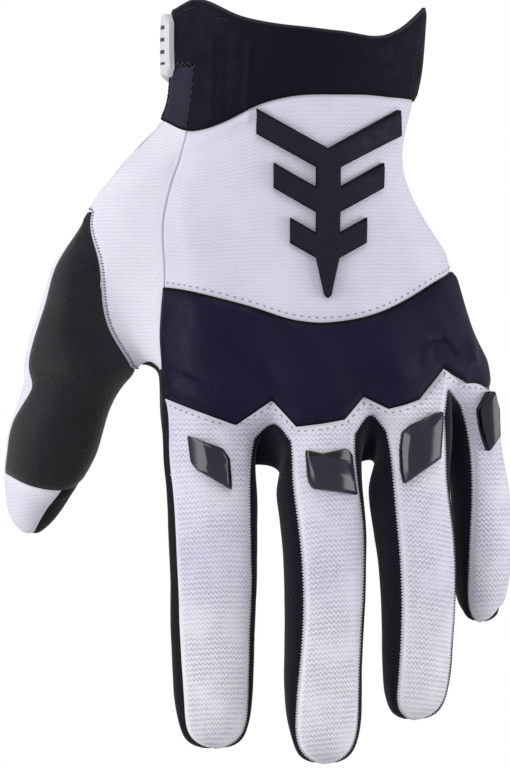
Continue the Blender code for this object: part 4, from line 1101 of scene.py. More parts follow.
def give_attribute(obj, name, values):
    """A number for each point of the mesh, which a material can read."""
    data = obj.data.attributes.new(name, "FLOAT", "POINT").data
    data.foreach_set("value", np.asarray(values, np.float32))


def seams_between(skin, inside, outside):
    """The seams between two sets of panels: each one's points, the ways into the inside panels from
    there, and the normals."""
    edges, others = edges_of(skin.quads_of(inside)), edges_of(skin.quads_of(outside))
    size = len(skin.points)
    edges = edges[np.isin(edges[:, 0] * size + edges[:, 1], others[:, 1] * size + others[:, 0])]
    following = dict(edges.tolist())
    starts = [a for a in following if a not in set(following.values())]
    seams = []
    for start in starts:
        chain = [start]
        while chain[-1] in following:
            chain.append(following[chain[-1]])
        points, normals = skin.points[chain], skin.normals[chain]
        inward = np.cross(normals, np.gradient(points, axis=0))
        seams.append((points, inward / np.linalg.norm(inward, axis=1)[:, None], normals))
    return seams


def spaced(values, pitch, *others):
    """Values at an even spacing along a path, the first of values."""
    run = np.concatenate([[0], np.cumsum(np.linalg.norm(np.diff(values, axis=0), axis=1))])
    places = np.arange(pitch / 2, run[-1], pitch)
    paths = [[np.interp(places, run, v[:, k]) for k in range(3)] for v in (values, *others)]
    return [np.column_stack(path) for path in paths]


def strand(path, normals, radius):
    """A short thread through some points, thinner at its two ends."""
    sides = THREAD_SIDES
    tangents = np.gradient(path, axis=0)
    across = np.cross(tangents, normals)
    across /= np.linalg.norm(across, axis=1)[:, None]
    thick = radius * np.sin(np.linspace(*THREAD_ENDS, len(path)) * math.pi)[:, None]
    turns = np.arange(sides) * 2 * math.pi / sides
    rings = [path + thick * (math.cos(t) * normals + math.sin(t) * across) for t in turns]
    points = np.stack(rings, axis=1).reshape(-1, 3)
    faces = [list(range(sides))[::-1], list(range(len(points) - sides, len(points)))]
    for i in range(len(path) - 1):
        for k in range(sides):
            a, b = i * sides + k, i * sides + (k + 1) % sides
            faces.append([a, b, b + sides, a + sides])
    return points, faces


def thread_piece(name, strands, material):
    """One piece of many strands."""
    points, faces, count = [], [], 0
    for strand_points, strand_faces in strands:
        points.append(strand_points)
        faces += [[v + count for v in face] for face in strand_faces]
        count += len(strand_points)
    return new_piece(name, np.concatenate(points), faces, material, sharp=80)


def laid(surface, spots, lifts):
    """A strand's points on the surface, each lifted off it, and the normals there."""
    points, normals = zip(*[surface.nearest(spot) for spot in spots])
    points, normals = np.array(points), np.array(normals)
    return points + normals * np.array(lifts)[:, None], normals


def running_stitches(surface, path, length=STITCH_LENGTH, pitch=STITCH_PITCH, radius=THREAD_RADIUS):
    """A row of stitches along a path. Each dives into the cloth at its two ends."""
    starts, ways = spaced(path, pitch, np.gradient(path, axis=0))
    ways /= np.linalg.norm(ways, axis=1)[:, None]
    strands = []
    for start, way in zip(starts, ways):
        spots = [start + way * length * s for s in STITCH_SHARES]
        lifts = [share * radius for share in STITCH_LIFTS]
        strands.append(strand(*laid(surface, spots, lifts), radius))
    return strands


def overlock_stitches(surface, seam):
    """Short threads across a seam, which give the knit its finely serrated edge."""
    points, ways = spaced(seam[0], OVERLOCK_PITCH, seam[1])
    share, speed = OVERLOCK_UNEVEN
    strands = []
    for number, (point, way) in enumerate(zip(points, ways)):
        reach = OVERLOCK_REACH * (1.0 + share * math.sin(speed * number))
        spots = [point + way * reach * s for s in OVERLOCK_SHARES]
        strands.append(strand(*laid(surface, spots, OVERLOCK_LIFTS), OVERLOCK_RADIUS))
    return strands


def zigzag_stitches(surface, seam):
    """Threads that cross a seam to and fro."""
    points, ways = spaced(seam[0], ZIGZAG_PITCH, seam[1])
    strands = []
    for number in range(len(points) - 1):
        side = ZIGZAG_REACH * (1 if number % 2 else -1)
        a, b = points[number] + ways[number] * side, points[number + 1] - ways[number + 1] * side
        spots = [blend(a, b, s) for s in STITCH_SHARES]
        strands.append(strand(*laid(surface, spots, ZIGZAG_LIFTS), THREAD_RADIUS))
    return strands


def seam_cord(seam, radius, sink):
    """A cord along a seam, sunk under the skin, which closes the gap between two panels."""
    return strand(seam[0] - seam[2] * sink, seam[2], radius)


def rounded_outline(corners, radius, steps=4, along=5):
    """An outline with its corners rounded and its sides divided."""
    outline = []
    for i, corner in enumerate(corners):
        following = corners[(i + 1) % len(corners)]
        before, after = corners[i - 1] - corner, following - corner
        lengths = np.linalg.norm(before), np.linalg.norm(after)
        cut = min(radius, 0.35 * min(lengths))
        first, last = corner + before / lengths[0] * cut, corner + after / lengths[1] * cut
        for s in np.linspace(0, 1, steps):
            outline.append((1 - s) ** 2 * first + 2 * s * (1 - s) * corner + s**2 * last)
        end = following - after / lengths[1] * min(radius, 0.35 * lengths[1])
        outline += [blend(last, end, s) for s in np.linspace(0, 1, along + 1)[1:-1]]
    return outline


def build_guard(surface, finger, material):
    """A moulded guard: bevels of their own width fall away from its top towards each side."""
    guard, width = GUARDS[finger], FINGERS[finger]["width"]
    facing = way_at(guard["turn"])
    across = np.array([-facing[1], facing[0], 0.0])
    corners = [np.array([u * width, seam_height(drop)]) for u, drop in guard["corners"]]
    middle = np.mean(corners, axis=0)
    sides = []
    for a, b in zip(corners, corners[1:] + corners[:1]):
        out = np.array([b[1] - a[1], a[0] - b[0]]) / np.linalg.norm(b - a)
        sides.append((a, out if out @ (a - middle) > 0 else -out))

    def height(flat):
        drops = [0.0]
        for (a, out), (wide, deep) in zip(sides, GUARD_FACETS[finger]):
            drops.append(deep * (1 - min(max((a - flat) @ out / wide, 0.0), 1.0)))
        ridge = 0.0
        if finger in GUARD_CREASES:
            (ua, da), (ub, db), rise, half = GUARD_CREASES[finger]
            a, b = np.array([ua * width, seam_height(da)]), np.array([ub * width, seam_height(db)])
            share = min(max((flat - a) @ (b - a) / ((b - a) @ (b - a)), 0.0), 1.0)
            ridge = rise * math.exp(-((np.linalg.norm(flat - blend(a, b, share)) / half) ** 2))
        return GUARD_HEIGHT - max(drops) + ridge

    outline = rounded_outline(corners, GUARD_CORNER)
    spots, lifts = list(outline), [0.0] * len(outline)
    for share, rounding in [*GUARD_RIM] + [(s, 0.0) for s in np.linspace(*GUARD_INNER)]:
        for p in outline:
            flat = blend(middle, p, share)
            spots.append(flat)
            lifts.append(height(flat) - rounding)
    spots.append(middle)
    lifts.append(height(middle))
    points = []
    for flat, lift in zip(spots, lifts):
        start = finger_middle(finger, flat[1]) + across * flat[0] + facing * GUARD_REACH * width
        points.append(surface.hit(start, -facing)[0])
    points = seated(np.array(points), np.array(spots), np.array(lifts), facing)
    count, rings = len(outline), len(points) // len(outline)
    faces = []
    for first in range(0, (rings - 1) * count, count):
        for a, b in ((first + k, first + (k + 1) % count) for k in range(count)):
            faces.append([a, b, b + count, a + count])
    last = (rings - 1) * count
    faces += [[last + k, last + (k + 1) % count, len(points) - 1] for k in range(count)]
    faces.append(list(range(count))[::-1])
    node, faces = f"knuckle_guard_{finger}", outward(points, faces)
    obj = new_piece(f"{node}_rubber", points, faces, material, [node], sharp=35)
    edges = [max(0.0, min((a - flat) @ out for a, out in sides)) for flat in spots]
    give_attribute(obj, "edge_mm", edges)


def smoothed(spots, values, good=slice(None)):
    """The values at these spots of the smooth curved face that fits the good values best."""
    u, v = ((spots - spots.mean(axis=0)) / spots.std(axis=0)).T
    terms = np.column_stack([np.ones(len(u)), u, v, u * u, u * v, v * v])
    return terms @ np.linalg.lstsq(terms[good], values[good], rcond=None)[0]


def seated(points, spots, lifts, facing):
    """The points of a moulded piece over cloth: its top follows a smooth curved face through them."""
    depth = points @ facing
    smooth = smoothed(spots, depth)
    new_depth = np.where(lifts > 0, smooth + SEAT_GAP + lifts, depth + RUBBER_SEAT)
    return points + (new_depth - depth)[:, None] * facing


def outward(points, faces):
    """The faces, turned round if they face inwards."""
    fans = [(f[0], f[i], f[i + 1]) for f in faces for i in range(1, len(f) - 1)]
    volume = sum(np.dot(points[a], np.cross(points[b], points[c])) for a, b, c in fans)
    return faces if volume > 0 else [f[::-1] for f in faces]


def divided_grid(flat, quads, steps):
    """A flat grid of quads, each divided into steps by steps."""
    index, points, faces = {}, [], []
    for quad in quads:
        a, b, c, d = (np.array(flat[v]) for v in quad)
        number = {}
        for i in range(steps + 1):
            for j in range(steps + 1):
                s, t = i / steps, j / steps
                point = blend(blend(a, d, t), blend(b, c, t), s)
                key = tuple(np.round(point, 3))
                if key not in index:
                    index[key] = len(points)
                    points.append(point)
                number[i, j] = index[key]
        faces += [[number[i, j], number[i + 1, j], number[i + 1, j + 1], number[i, j + 1]]
                  for i in range(steps) for j in range(steps)]
    return np.array(points), np.array(faces)


def moulded(name, faces, hits, height, bevel, material):
    """A piece over a grid of places on the cloth, with its upper edges rounded off."""
    points, normals = (np.array(values) for values in zip(*hits))
    rim = rim_of(faces)
    edge = rim_distances(points, rim)
    inside = np.clip(1 - edge / bevel, 0, 1)
    top = RUBBER_SEAT + height - bevel * (1 - np.sqrt(1 - inside**2)) * BEVEL_DEPTH
    solid, faces = walled(points + normals * top[:, None], points + normals * RUBBER_SEAT, faces, rim)
    faces = outward(solid, faces.tolist())
    obj = new_piece(name + "_rubber", solid, faces, material, [name], sharp=40)
    give_attribute(obj, "edge_mm", np.concatenate([edge, np.zeros(len(points))]))


def build_badge(surface, material):
    flat, faces = divided_grid(*badge_grid(), BADGE_STEPS)
    hits = [surface.hit(*front_ray(x, z)) for x, z in flat]
    moulded("back_badge", faces, hits, SEAT_GAP + BADGE_HEIGHT, BADGE_BEVEL, material)


def on_cuff(surface, angle, z):
    """The cuff's surface at an angle from straight back and a height."""
    way = way_at(angle)
    return surface.hit(np.array([CUFF_MIDDLE * CUFF_WIDTH, 0.0, z]) + way * CUFF_WIDTH, -way)


def evened(flat, hits):
    """Points and normals of a smooth stiff face on these hits, each at an angle and a height."""
    points, normals = (np.array(values) for values in zip(*hits))
    ways = np.array([way_at(angle) for angle in flat[:, 0]])
    depth = (points * ways).sum(axis=1)
    good = abs(depth - np.median(depth)) < STIFF_STRAY
    smooth = smoothed(flat, depth, good)
    smooth += np.percentile((depth - smooth)[good], STIFF_PERCENTILE)
    even = smoothed(flat, normals, good)
    even /= np.linalg.norm(even, axis=1)[:, None]
    starts = np.column_stack([np.zeros((len(flat), 2)), flat[:, 1]])
    return list(zip(starts + ways * smooth[:, None], even))


def wrapped(surface, name, columns, steps, wall, bevel, material, slot, stiff=False):
    """A piece wrapped round the cuff. Each column is an angle and a height in millimetres. A stiff
    piece spans the cloth's dents."""
    turns, drops = zip(*[(-angle, drop) for angle, drop in STRAP_DROPS])
    angles, heights = np.array(columns).T
    flat, faces, across = [], [], steps[1] + 1
    for angle in np.linspace(angles[0], angles[-1], steps[0] + 1):
        middle = -CUFF_HEIGHT * np.interp(-angle, turns, drops)
        height = np.interp(-angle, -angles, heights)
        flat += [(angle, middle + height * share) for share in np.linspace(0.5, -0.5, across)]
    for i in range(steps[0]):
        for k in range(steps[1]):
            first = across * i + k
            faces.append([first, first + 1, first + across + 1, first + across])
    hits = [on_cuff(surface, angle, z) for angle, z in flat]
    if stiff:
        hits = evened(np.array(flat), hits)
    moulded(name, np.array(faces), hits, SEAT_GAP + wall, bevel, material)


def colour(red, green, blue):
    """A colour given as it shows on a screen, from 0 to 255."""
    shown = (c / 255 for c in (red, green, blue))
    return tuple(((s + 0.055) / 1.055) ** 2.4 if s > 0.04 else s / 12.92 for s in shown)


class Finish:
    """A procedural material. Its lengths are in millimetres."""

    def __init__(self, name, roughness, specular=0.5):
        self.material = bpy.data.materials.new(name)
        self.material.use_nodes = True
        self.tree = self.material.node_tree
        self.shader = self.tree.nodes["Principled BSDF"]
        self.give(self.shader.inputs["Roughness"], roughness)
        self.give(self.shader.inputs["Specular IOR Level"], specular)
        coordinates = self.tree.nodes.new("ShaderNodeTexCoord").outputs["Object"]
        in_mm = self.node("ShaderNodeVectorMath", (coordinates,), operation="SCALE", Scale=1 / MM)
        self.place = in_mm.outputs[0]
        self.x, self.y, self.z = self.node("ShaderNodeSeparateXYZ", (self.place,)).outputs

    def give(self, socket, value):
        if isinstance(value, bpy.types.NodeSocket):
            self.tree.links.new(value, socket)
        elif socket.type == "RGBA":
            socket.default_value = (*value, 1)
        else:
            socket.default_value = value

    def node(self, kind, inputs=(), **settings):
        """A new node. Settings with a capital letter are inputs' names, the others the node's own."""
        node = self.tree.nodes.new(kind)
        for key, value in settings.items():
            if key[0].islower():
                setattr(node, key, value)
        for socket, value in zip(node.inputs, inputs):
            self.give(socket, value)
        for key, value in settings.items():
            if not key[0].islower():
                self.give(node.inputs[key.replace("_", " ")], value)
        return node

    def maths(self, operation, *values):
        return self.node("ShaderNodeMath", values, operation=operation).outputs[0]

    def attribute(self, name):
        return self.node("ShaderNodeAttribute", attribute_name=name).outputs["Fac"]

    def noise(self, length, detail=2.0):
        node = self.node("ShaderNodeTexNoise", Vector=self.place, Scale=1 / length, Detail=detail)
        return node.outputs["Fac"]

    def uneven(self, length, detail, most):
        """Noise to both sides of 0."""
        return self.maths("MULTIPLY", self.maths("SUBTRACT", self.noise(length, detail), 0.5), most)

    def grains(self, length):
        settings = dict(feature="SMOOTH_F1", Vector=self.place, Scale=1 / length)
        return self.node("ShaderNodeTexVoronoi", **settings).outputs["Distance"]

    def wave(self, place, pitch, wobble=0.0):
        """Ribs across a place in millimetres, from 0 to 1."""
        turn = self.maths("MULTIPLY_ADD", place, 2 * math.pi / pitch, wobble)
        return self.maths("MULTIPLY_ADD", self.maths("SINE", turn), 0.5, 0.5)

    def ramp(self, value, low, high, to_low=0.0, to_high=1.0):
        """The value's way from low to high, turned into one from to_low to to_high."""
        inputs = (value, low, high, to_low, to_high)
        return self.node("ShaderNodeMapRange", inputs, interpolation_type="SMOOTHSTEP").outputs[0]

    def patches(self, length, detail=2.0, least=0.0, most=1.0):
        """Soft patches with the values least to most."""
        return self.ramp(self.noise(length, detail), 0.3, 0.7, least, most)

    def mixed(self, share, a, b):
        node = self.node("ShaderNodeMix", data_type="RGBA")
        for number, value in ((0, share), (6, a), (7, b)):
            self.give(node.inputs[number], value)
        return node.outputs[2]

    def done(self, base, height=None, depth=0.1):
        """Sets the colour and the relief: depth is how far a height of 1 stands off, in millimetres."""
        self.give(self.shader.inputs["Base Color"], base)
        if height is not None:
            bump = self.node("ShaderNodeBump", Strength=1.0, Distance=depth * MM, Height=height)
            self.give(self.shader.inputs["Normal"], bump.outputs[0])
        return self.material


# The knit's loops: how far apart, and how far they bend a rib, in radians; and between which heights the
# fingers' knit takes on its painted shade, which darkens their upper part and leaves the tips white
LOOP_PITCH = 1.4
LOOP_BEND = 2.7
KNIT_WOBBLE = (5.0, 2.0, 3.2)  # how the ribs wander: noise of this length and detail, in radians
KNIT_FRAY = (0.8, 3.0, 2.8)
# Near a seam the knit is a painted highlight: smooth, and at its bright crest colour
KNIT_ROLL = (0.5, 2.6)  # how far from a seam the ribs begin, and where they are at their full depth
SHADE_HEIGHTS = (-195.0, -150.0)


def knit(name, pitch, depth, crest, groove, contrast=1.0, shade=None):
    """Knit with wavy ribs across the glove, with painted shade in the rib grooves: they take the groove
    colour, as far as contrast says. Where it rolls in at a seam the knit is smooth and keeps its crest
    colour, a painted highlight along the rolled edge. shade is a colour of painted shade that the
    cloth's upper part takes on in patches."""
    f = Finish(name, 0.85, 0.08)
    f.give(f.shader.inputs["Sheen Weight"], 0.15)
    wobble = f.maths("ADD", f.uneven(*KNIT_WOBBLE), f.uneven(*KNIT_FRAY))
    loops = f.wave(f.attribute("loop_mm"), LOOP_PITCH, wobble)
    bend = f.maths("MULTIPLY_ADD", loops, LOOP_BEND, wobble)
    ribs = f.wave(f.attribute("rib_mm"), pitch, bend)
    relief = f.maths("MULTIPLY_ADD", f.noise(0.4, 3.0), 0.42, f.maths("MULTIPLY", ribs, 0.7))
    open_cloth = f.ramp(f.noise(10.0), 0.3, 0.6, 0.5, 1.0)
    # painted highlight: near a seam the ribs fade out, so the rolled edge keeps the bright crest colour
    # without the painted groove shade
    flat = f.maths("MULTIPLY", f.ramp(f.attribute("edge_mm"), *KNIT_ROLL), open_cloth)
    # painted shade: grooves colours the rib grooves towards the groove colour; the black knit's grooves
    # go darker in the same way
    grooves = f.maths("MULTIPLY", f.ramp(relief, 0.52, 0.16), flat)
    # painted shade: above the fingertips the crest colour is mixed in patches towards the shade colour
    if shade:
        lit = f.ramp(f.z, *SHADE_HEIGHTS)
        patches = f.maths("MULTIPLY", lit, f.patches(30.0, 2.0, 0.5, 1.0))
        crest = f.mixed(patches, crest, shade)
    body = f.mixed(f.maths("MULTIPLY", grooves, contrast), crest, groove)
    body = f.mixed(f.ramp(f.noise(12.0), 0.35, 0.75, 0.0, 0.07), body, groove)
    return f.done(body, f.maths("MULTIPLY", relief, flat), depth)


def scaled(base, share):
    """A colour made darker, or lighter where share is over 1."""
    return [c * share for c in base]


TOP_RIM = (-9.0, -8.0)  # over these heights the cuff's edge turns into the top rim's colour


def neoprene(name, base, rim, roughness, top_rim=None):
    """Padded rubber sheet with a smooth knitted face, and a painted shadow along its edges in the
    near-black rim colour, where they roll in at a seam; top_rim is a colour that the cuff's top edge
    takes instead.
    """
    f = Finish(name, roughness, 0.10)
    weave = f.maths("MULTIPLY", f.wave(f.maths("ADD", f.x, f.y), 0.55), f.wave(f.z, 0.55))
    relief = f.maths("MULTIPLY_ADD", weave, 0.35, f.noise(1.1, 4.0))
    f.give(f.shader.inputs["Roughness"], f.patches(5.0, 3.0, roughness - 0.06, roughness + 0.1))
    body = f.mixed(f.patches(9.0, 4.0, 0.0, 0.35), base, scaled(base, 1.5))
    if top_rim:
        rim = f.mixed(f.ramp(f.z, *TOP_RIM), rim, top_rim)
    # painted shadow: within about a millimetre of the edge, and on the walls, the colour turns to the
    # near-black rim colour
    return f.done(f.mixed(f.ramp(f.attribute("edge_mm"), 0.35, 0.95), rim, body), relief, 0.09)


def leather(name, base, roughness, grain=1.1, depth=0.12, sheen=0.06):
    """Synthetic leather: pores between small raised grains."""
    f = Finish(name, roughness, 0.12)
    f.give(f.shader.inputs["Sheen Weight"], sheen)
    pores = f.ramp(f.grains(grain), 0.05, 0.65)
    relief = f.maths("MULTIPLY_ADD", f.noise(0.5, 4.0), 0.3, f.maths("SUBTRACT", 1.0, pores))
    body = f.mixed(pores, scaled(base, 1.25), scaled(base, 0.7))
    body = f.mixed(f.ramp(f.noise(12.0, 3.0), 0.35, 0.7, 0.0, 0.3), body, scaled(base, 1.7))
    return f.done(body, relief, depth)


RUBBER_SPECK = 0.4  # the length of its finest unevenness


def rubber(name, base, rim, roughness, gloss):
    """Moulded rubber with a darker edge."""
    f = Finish(name, roughness, gloss)
    f.give(f.shader.inputs["Roughness"], f.patches(3.0, 5.0, roughness * 0.85, roughness * 1.3))
    specks = f.ramp(f.noise(RUBBER_SPECK, 3.0), 0.35, 0.75, 0.0, 0.3)
    body = f.mixed(specks, base, scaled(base, 1.6))
    body = f.mixed(f.ramp(f.attribute("edge_mm"), 0.15, 0.6), rim, body)
    return f.done(body, f.noise(RUBBER_SPECK, 4.0), 0.03)


def webbing(name, base):
    """Woven strap: ribs round the cuff, crossed by finer ones."""
    f = Finish(name, 0.7, 0.3)
    weave = f.maths("MULTIPLY_ADD", f.wave(f.z, 1.5), 0.7, f.maths("MULTIPLY", f.wave(f.x, 0.9), 0.3))
    body = f.mixed(weave, scaled(base, 0.6), scaled(base, 1.5))
    return f.done(body, weave, 0.25)


def thread(name, base):
    """Twisted thread: fine slanted stripes."""
    f = Finish(name, 0.6, 0.3)
    slant = f.maths("ADD", f.maths("MULTIPLY", f.x, 1.3), f.maths("ADD", f.y, f.z))
    twist = f.wave(slant, 0.3)
    return f.done(f.mixed(twist, scaled(base, 0.7), base), twist, 0.04)


TAB_GROOVES = (3.6, 0.6)  # how far apart, and where in the wave the first lies, in radians
TAB_MARGIN = (1.2, 1.7)  # how far from the tab's edge a groove ends
TAB_PLAIN = (-10.6, -10.2)  # below these heights the tab is plain, which cuts the last groove short


def moulded_tab(name, base, dark):
    """Light moulded plastic with plain grip grooves across it: three broad ones and a narrow one."""
    f = Finish(name, 0.4, 0.5)
    grooves = f.ramp(f.wave(f.z, *TAB_GROOVES), 0.72, 0.86)
    inner = f.maths("MULTIPLY", grooves, f.ramp(f.attribute("edge_mm"), *TAB_MARGIN))
    inner = f.maths("MULTIPLY", inner, f.ramp(f.z, *TAB_PLAIN))
    body = f.mixed(f.patches(2.0, 3.0, 0.0, 0.15), base, scaled(base, 0.8))
    return f.done(f.mixed(inner, body, dark), f.maths("SUBTRACT", 1.0, inner), 0.3)


def finishes():
    # Among these, groove, deep and the thumb knit's and black knit's second colours are painted shade
    # for the rib grooves; the colour paired with crest is painted shade for the fingers' upper part; the
    # near-black one paired with navy is the painted shadow along the neoprene's seams
    crest, shade = colour(242, 240, 252), colour(231, 228, 246)
    navy, painted_seam_shadow = colour(28, 22, 48), colour(9, 8, 14)
    fine, groove = colour(229, 226, 243), colour(186, 180, 214)
    bright, deep = colour(252, 251, 255), colour(166, 159, 202)
    return {
        "hand_knit": knit("fine_white_rib", 1.15, 0.09, fine, groove, 0.42),
        "thumb_knit": knit("smooth_white_rib", 1.15, 0.09, crest, colour(190, 184, 216), 0.34),
        "finger_knit": knit("white_rib", 1.5, 0.22, bright, deep, 0.75, shade),
        "black_knit": knit("black_rib", 1.2, 0.2, colour(23, 20, 33), colour(8, 7, 13)),
        "knuckle_neoprene": neoprene("navy_neoprene", navy, painted_seam_shadow, 0.42),
        "cuff_neoprene": neoprene("dark_neoprene", colour(17, 14, 28), painted_seam_shadow, 0.6, colour(50, 48, 58)),
        "gusset_neoprene": neoprene("grey_neoprene", colour(46, 42, 60), painted_seam_shadow, 0.65),
        "palm_leather": leather("palm_leather", colour(20, 18, 24), 0.65),
        "thumb_leather": leather("thumb_leather", colour(34, 31, 36), 0.55, 0.8, 0.07, 0.30),
        "guard_rubber": rubber("glossy_guard_rubber", colour(34, 31, 46), colour(7, 6, 10), 0.14, 0.55),
        "badge_rubber": rubber("matt_badge_rubber", colour(34, 32, 45), colour(11, 10, 16), 0.6, 0.12),
        "strap_webbing": webbing("strap_webbing", colour(22, 20, 28)),
        "tab_rubber": moulded_tab("pale_tab", colour(238, 236, 243), colour(18, 16, 24)),
        # painted shade: the white knit's stitches are white thread, coloured lavender grey here for the
        # shade in and round them
        "painted_shade_thread": thread("painted_shade_thread", colour(166, 160, 190)),
        "dark_thread": thread("dark_thread", colour(72, 69, 84)),
        "white_thread": thread("white_thread", colour(242, 239, 250)),
    }


# Each sewn piece: its nodes, whether it is as fine as the front, how far it stands proud, its wall, how
# far padding lifts its middle, and its finish
PANEL_COLUMNS = ("nodes", "fine", "proud", "wall", "crown", "finish")
PLAIN_KNIT = 0.0, KNIT_WALL, 0.0
PLAIN_LEATHER = 0.0, LEATHER_WALL, 0.0
PANELS = {
    "hand_back_knit": (["hand_back"], True, *PLAIN_KNIT, "hand_knit"),
    "thumb_gusset_knit": (["thumb_gusset"], True, *PLAIN_KNIT, "thumb_knit"),
    "thumb_back_knit": (["thumb_back"], True, *PLAIN_KNIT, "thumb_knit"),
    "finger_backs_knit": (FINGER_BACKS, True, *PLAIN_KNIT, "finger_knit"),
    "knuckle_band_pad": (["knuckle_band"], True, BAND_PROUD, BAND_WALL, 0.9, "knuckle_neoprene"),
    "cuff_pad": (["cuff"], True, CUFF_PROUD, CUFF_WALL, 0.0, "cuff_neoprene"),
    "cuff_gusset_pad": (["cuff_gusset"], True, 0.0, KNIT_WALL, 0.3, "gusset_neoprene"),
    "thumb_panel_leather": (["thumb_panel"], True, PANEL_PROUD, LEATHER_WALL, 0.0, "thumb_leather"),
    "palm_leather_skin": (["palm"] + FINGER_PALMS, False, *PLAIN_LEATHER, "palm_leather"),
    "thumb_palm_leather": (["thumb_palm"], False, *PLAIN_LEATHER, "palm_leather"),
}
for fourchette in FOURCHETTES:
    PANELS[fourchette + "_knit"] = ([fourchette], False, *PLAIN_KNIT, "black_knit")
WHITE_KNITS = ("hand_knit", "thumb_knit", "finger_knit")
# The slot names of the finishes, each after its finish apart from these; nothing in this script reads
# them
SLOTS = {"gusset_neoprene": "cuff_neoprene", **dict.fromkeys(WHITE_KNITS, "white_knit")}


# How the ribs run: over what length they settle, how they slant on each finger and bow on all of them
RIB_SETTLING = 18.0
RIB_BOW = -0.12
RIB_SLANTS = {"thumb": 0.1, "index": 0.05, "middle": 0.12, "ring": -0.12, "little": 0.08}


def rib_places(points, owners):
    """How far down the glove each point's rib lies and how far round it lies, in millimetres. A rib
    follows the cuff's seam near the cuff, and slants and bows a little on a finger."""
    wrist, heights = cuff_seam_line()
    seam = np.interp(points[:, 0], wrist, heights)
    below = np.clip(seam - points[:, 2], 0, None)
    places = -points[:, 2] + (seam - heights.mean()) * np.exp(-below / RIB_SETTLING)
    loops = points[:, 0].copy()
    for finger, slant in RIB_SLANTS.items():
        own = owners == ("thumb_back" if finger == "thumb" else f"finger_back_{finger}")
        width, spots = FINGERS[finger]["width"], points[own]
        middle = finger_middle(finger, spots[:, 2])
        across = (spots[:, 0] - middle[0]) / width
        settled = np.clip((middle_top(finger) - spots[:, 2]) / RIB_SETTLING, 0, 1)
        places[own] += (slant * across + RIB_BOW * across**2) * width * settled
        turn = np.arctan2(spots[:, 0] - middle[0], middle[1] - spots[:, 1])
        loops[own] += (middle[0] + turn * width / 2 - spots[:, 0]) * settled
    return places, loops


def middle_top(finger):
    return finger_centre(finger, named(STATION_NAMES, FINGERS[finger]["stations"][0]))[2]


def cuff_seam_line():
    """The cuff's lower seam on the back: places across, and heights."""
    heights, width, depth, shift, _ = CUFF_ROWS["cuff_seam"]
    knots = [wrist_point(k, False, width, depth, shift)[0] for k in CUFF_KNOTS]
    return np.array(knots), -CUFF_HEIGHT + np.array(heights) * CUFF_HEIGHT


def build_panels(skins, surface, looks):
    for name, row in PANELS.items():
        p = named(PANEL_COLUMNS, row)
        patch = Patch(skins[p["fine"]], p["nodes"])
        roll = SEAM_DIP * np.exp(-((patch.edge / SEAM_ROLL) ** 2))
        top = p["proud"] + p["crown"] * (1 - np.exp(-patch.edge / CROWN_LENGTH)) - roll
        wall = np.full(len(top), p["wall"])
        if name == "cuff_pad":
            wall = CUFF_RIM_WALL + (wall - CUFF_RIM_WALL) * np.clip(patch.edge / CUFF_RIM_TAPER, 0, 1)
        outer = patch.lifted(top)
        points, faces = walled(outer, patch.lifted(p["proud"] - wall), patch.faces, patch.rim)
        surface.add(outer, patch.faces)
        obj = new_piece(name, points, faces, looks[p["finish"]], p["nodes"])
        give_attribute(obj, "edge_mm", np.concatenate([patch.edge, np.zeros(len(patch.points))]))
        if "knit" in p["finish"]:
            for attribute, values in zip(("rib_mm", "loop_mm"), rib_places(patch.points, patch.owners)):
                give_attribute(obj, attribute, np.tile(values, 2))


# The studio's lights, in metres from the glove's middle: place, size and level
WORLD_LEVEL = 0.50
FLOOR_SIZE = 1.0
FLOOR_PATCHES = 60.0  # in millimetres
FLOOR_TONES = ((0.80, 0.80, 0.82), (0.84, 0.84, 0.86))
LIGHTS = (
    ("left_light", (-1.1, -0.50, 0.05), 0.8, 0.48),
    ("right_light", (1.1, -0.25, -0.10), 0.7, 0.42),
    ("top_light", (0.1, -0.8, 0.9), 0.5, 0.14),
)


def light(name, place, aim, size, level):
    """A soft area light. level is how bright a white surface that faces it gets."""
    data = bpy.data.lights.new(name, "AREA")
    data.size = size
    way = Vector(aim) - Vector(place)
    data.energy = level * math.pi**2 * way.length_squared
    obj = bpy.data.objects.new(name, data)
    obj.location = place
    obj.rotation_euler = way.to_track_quat("-Z", "Y").to_euler()
    bpy.context.scene.collection.objects.link(obj)


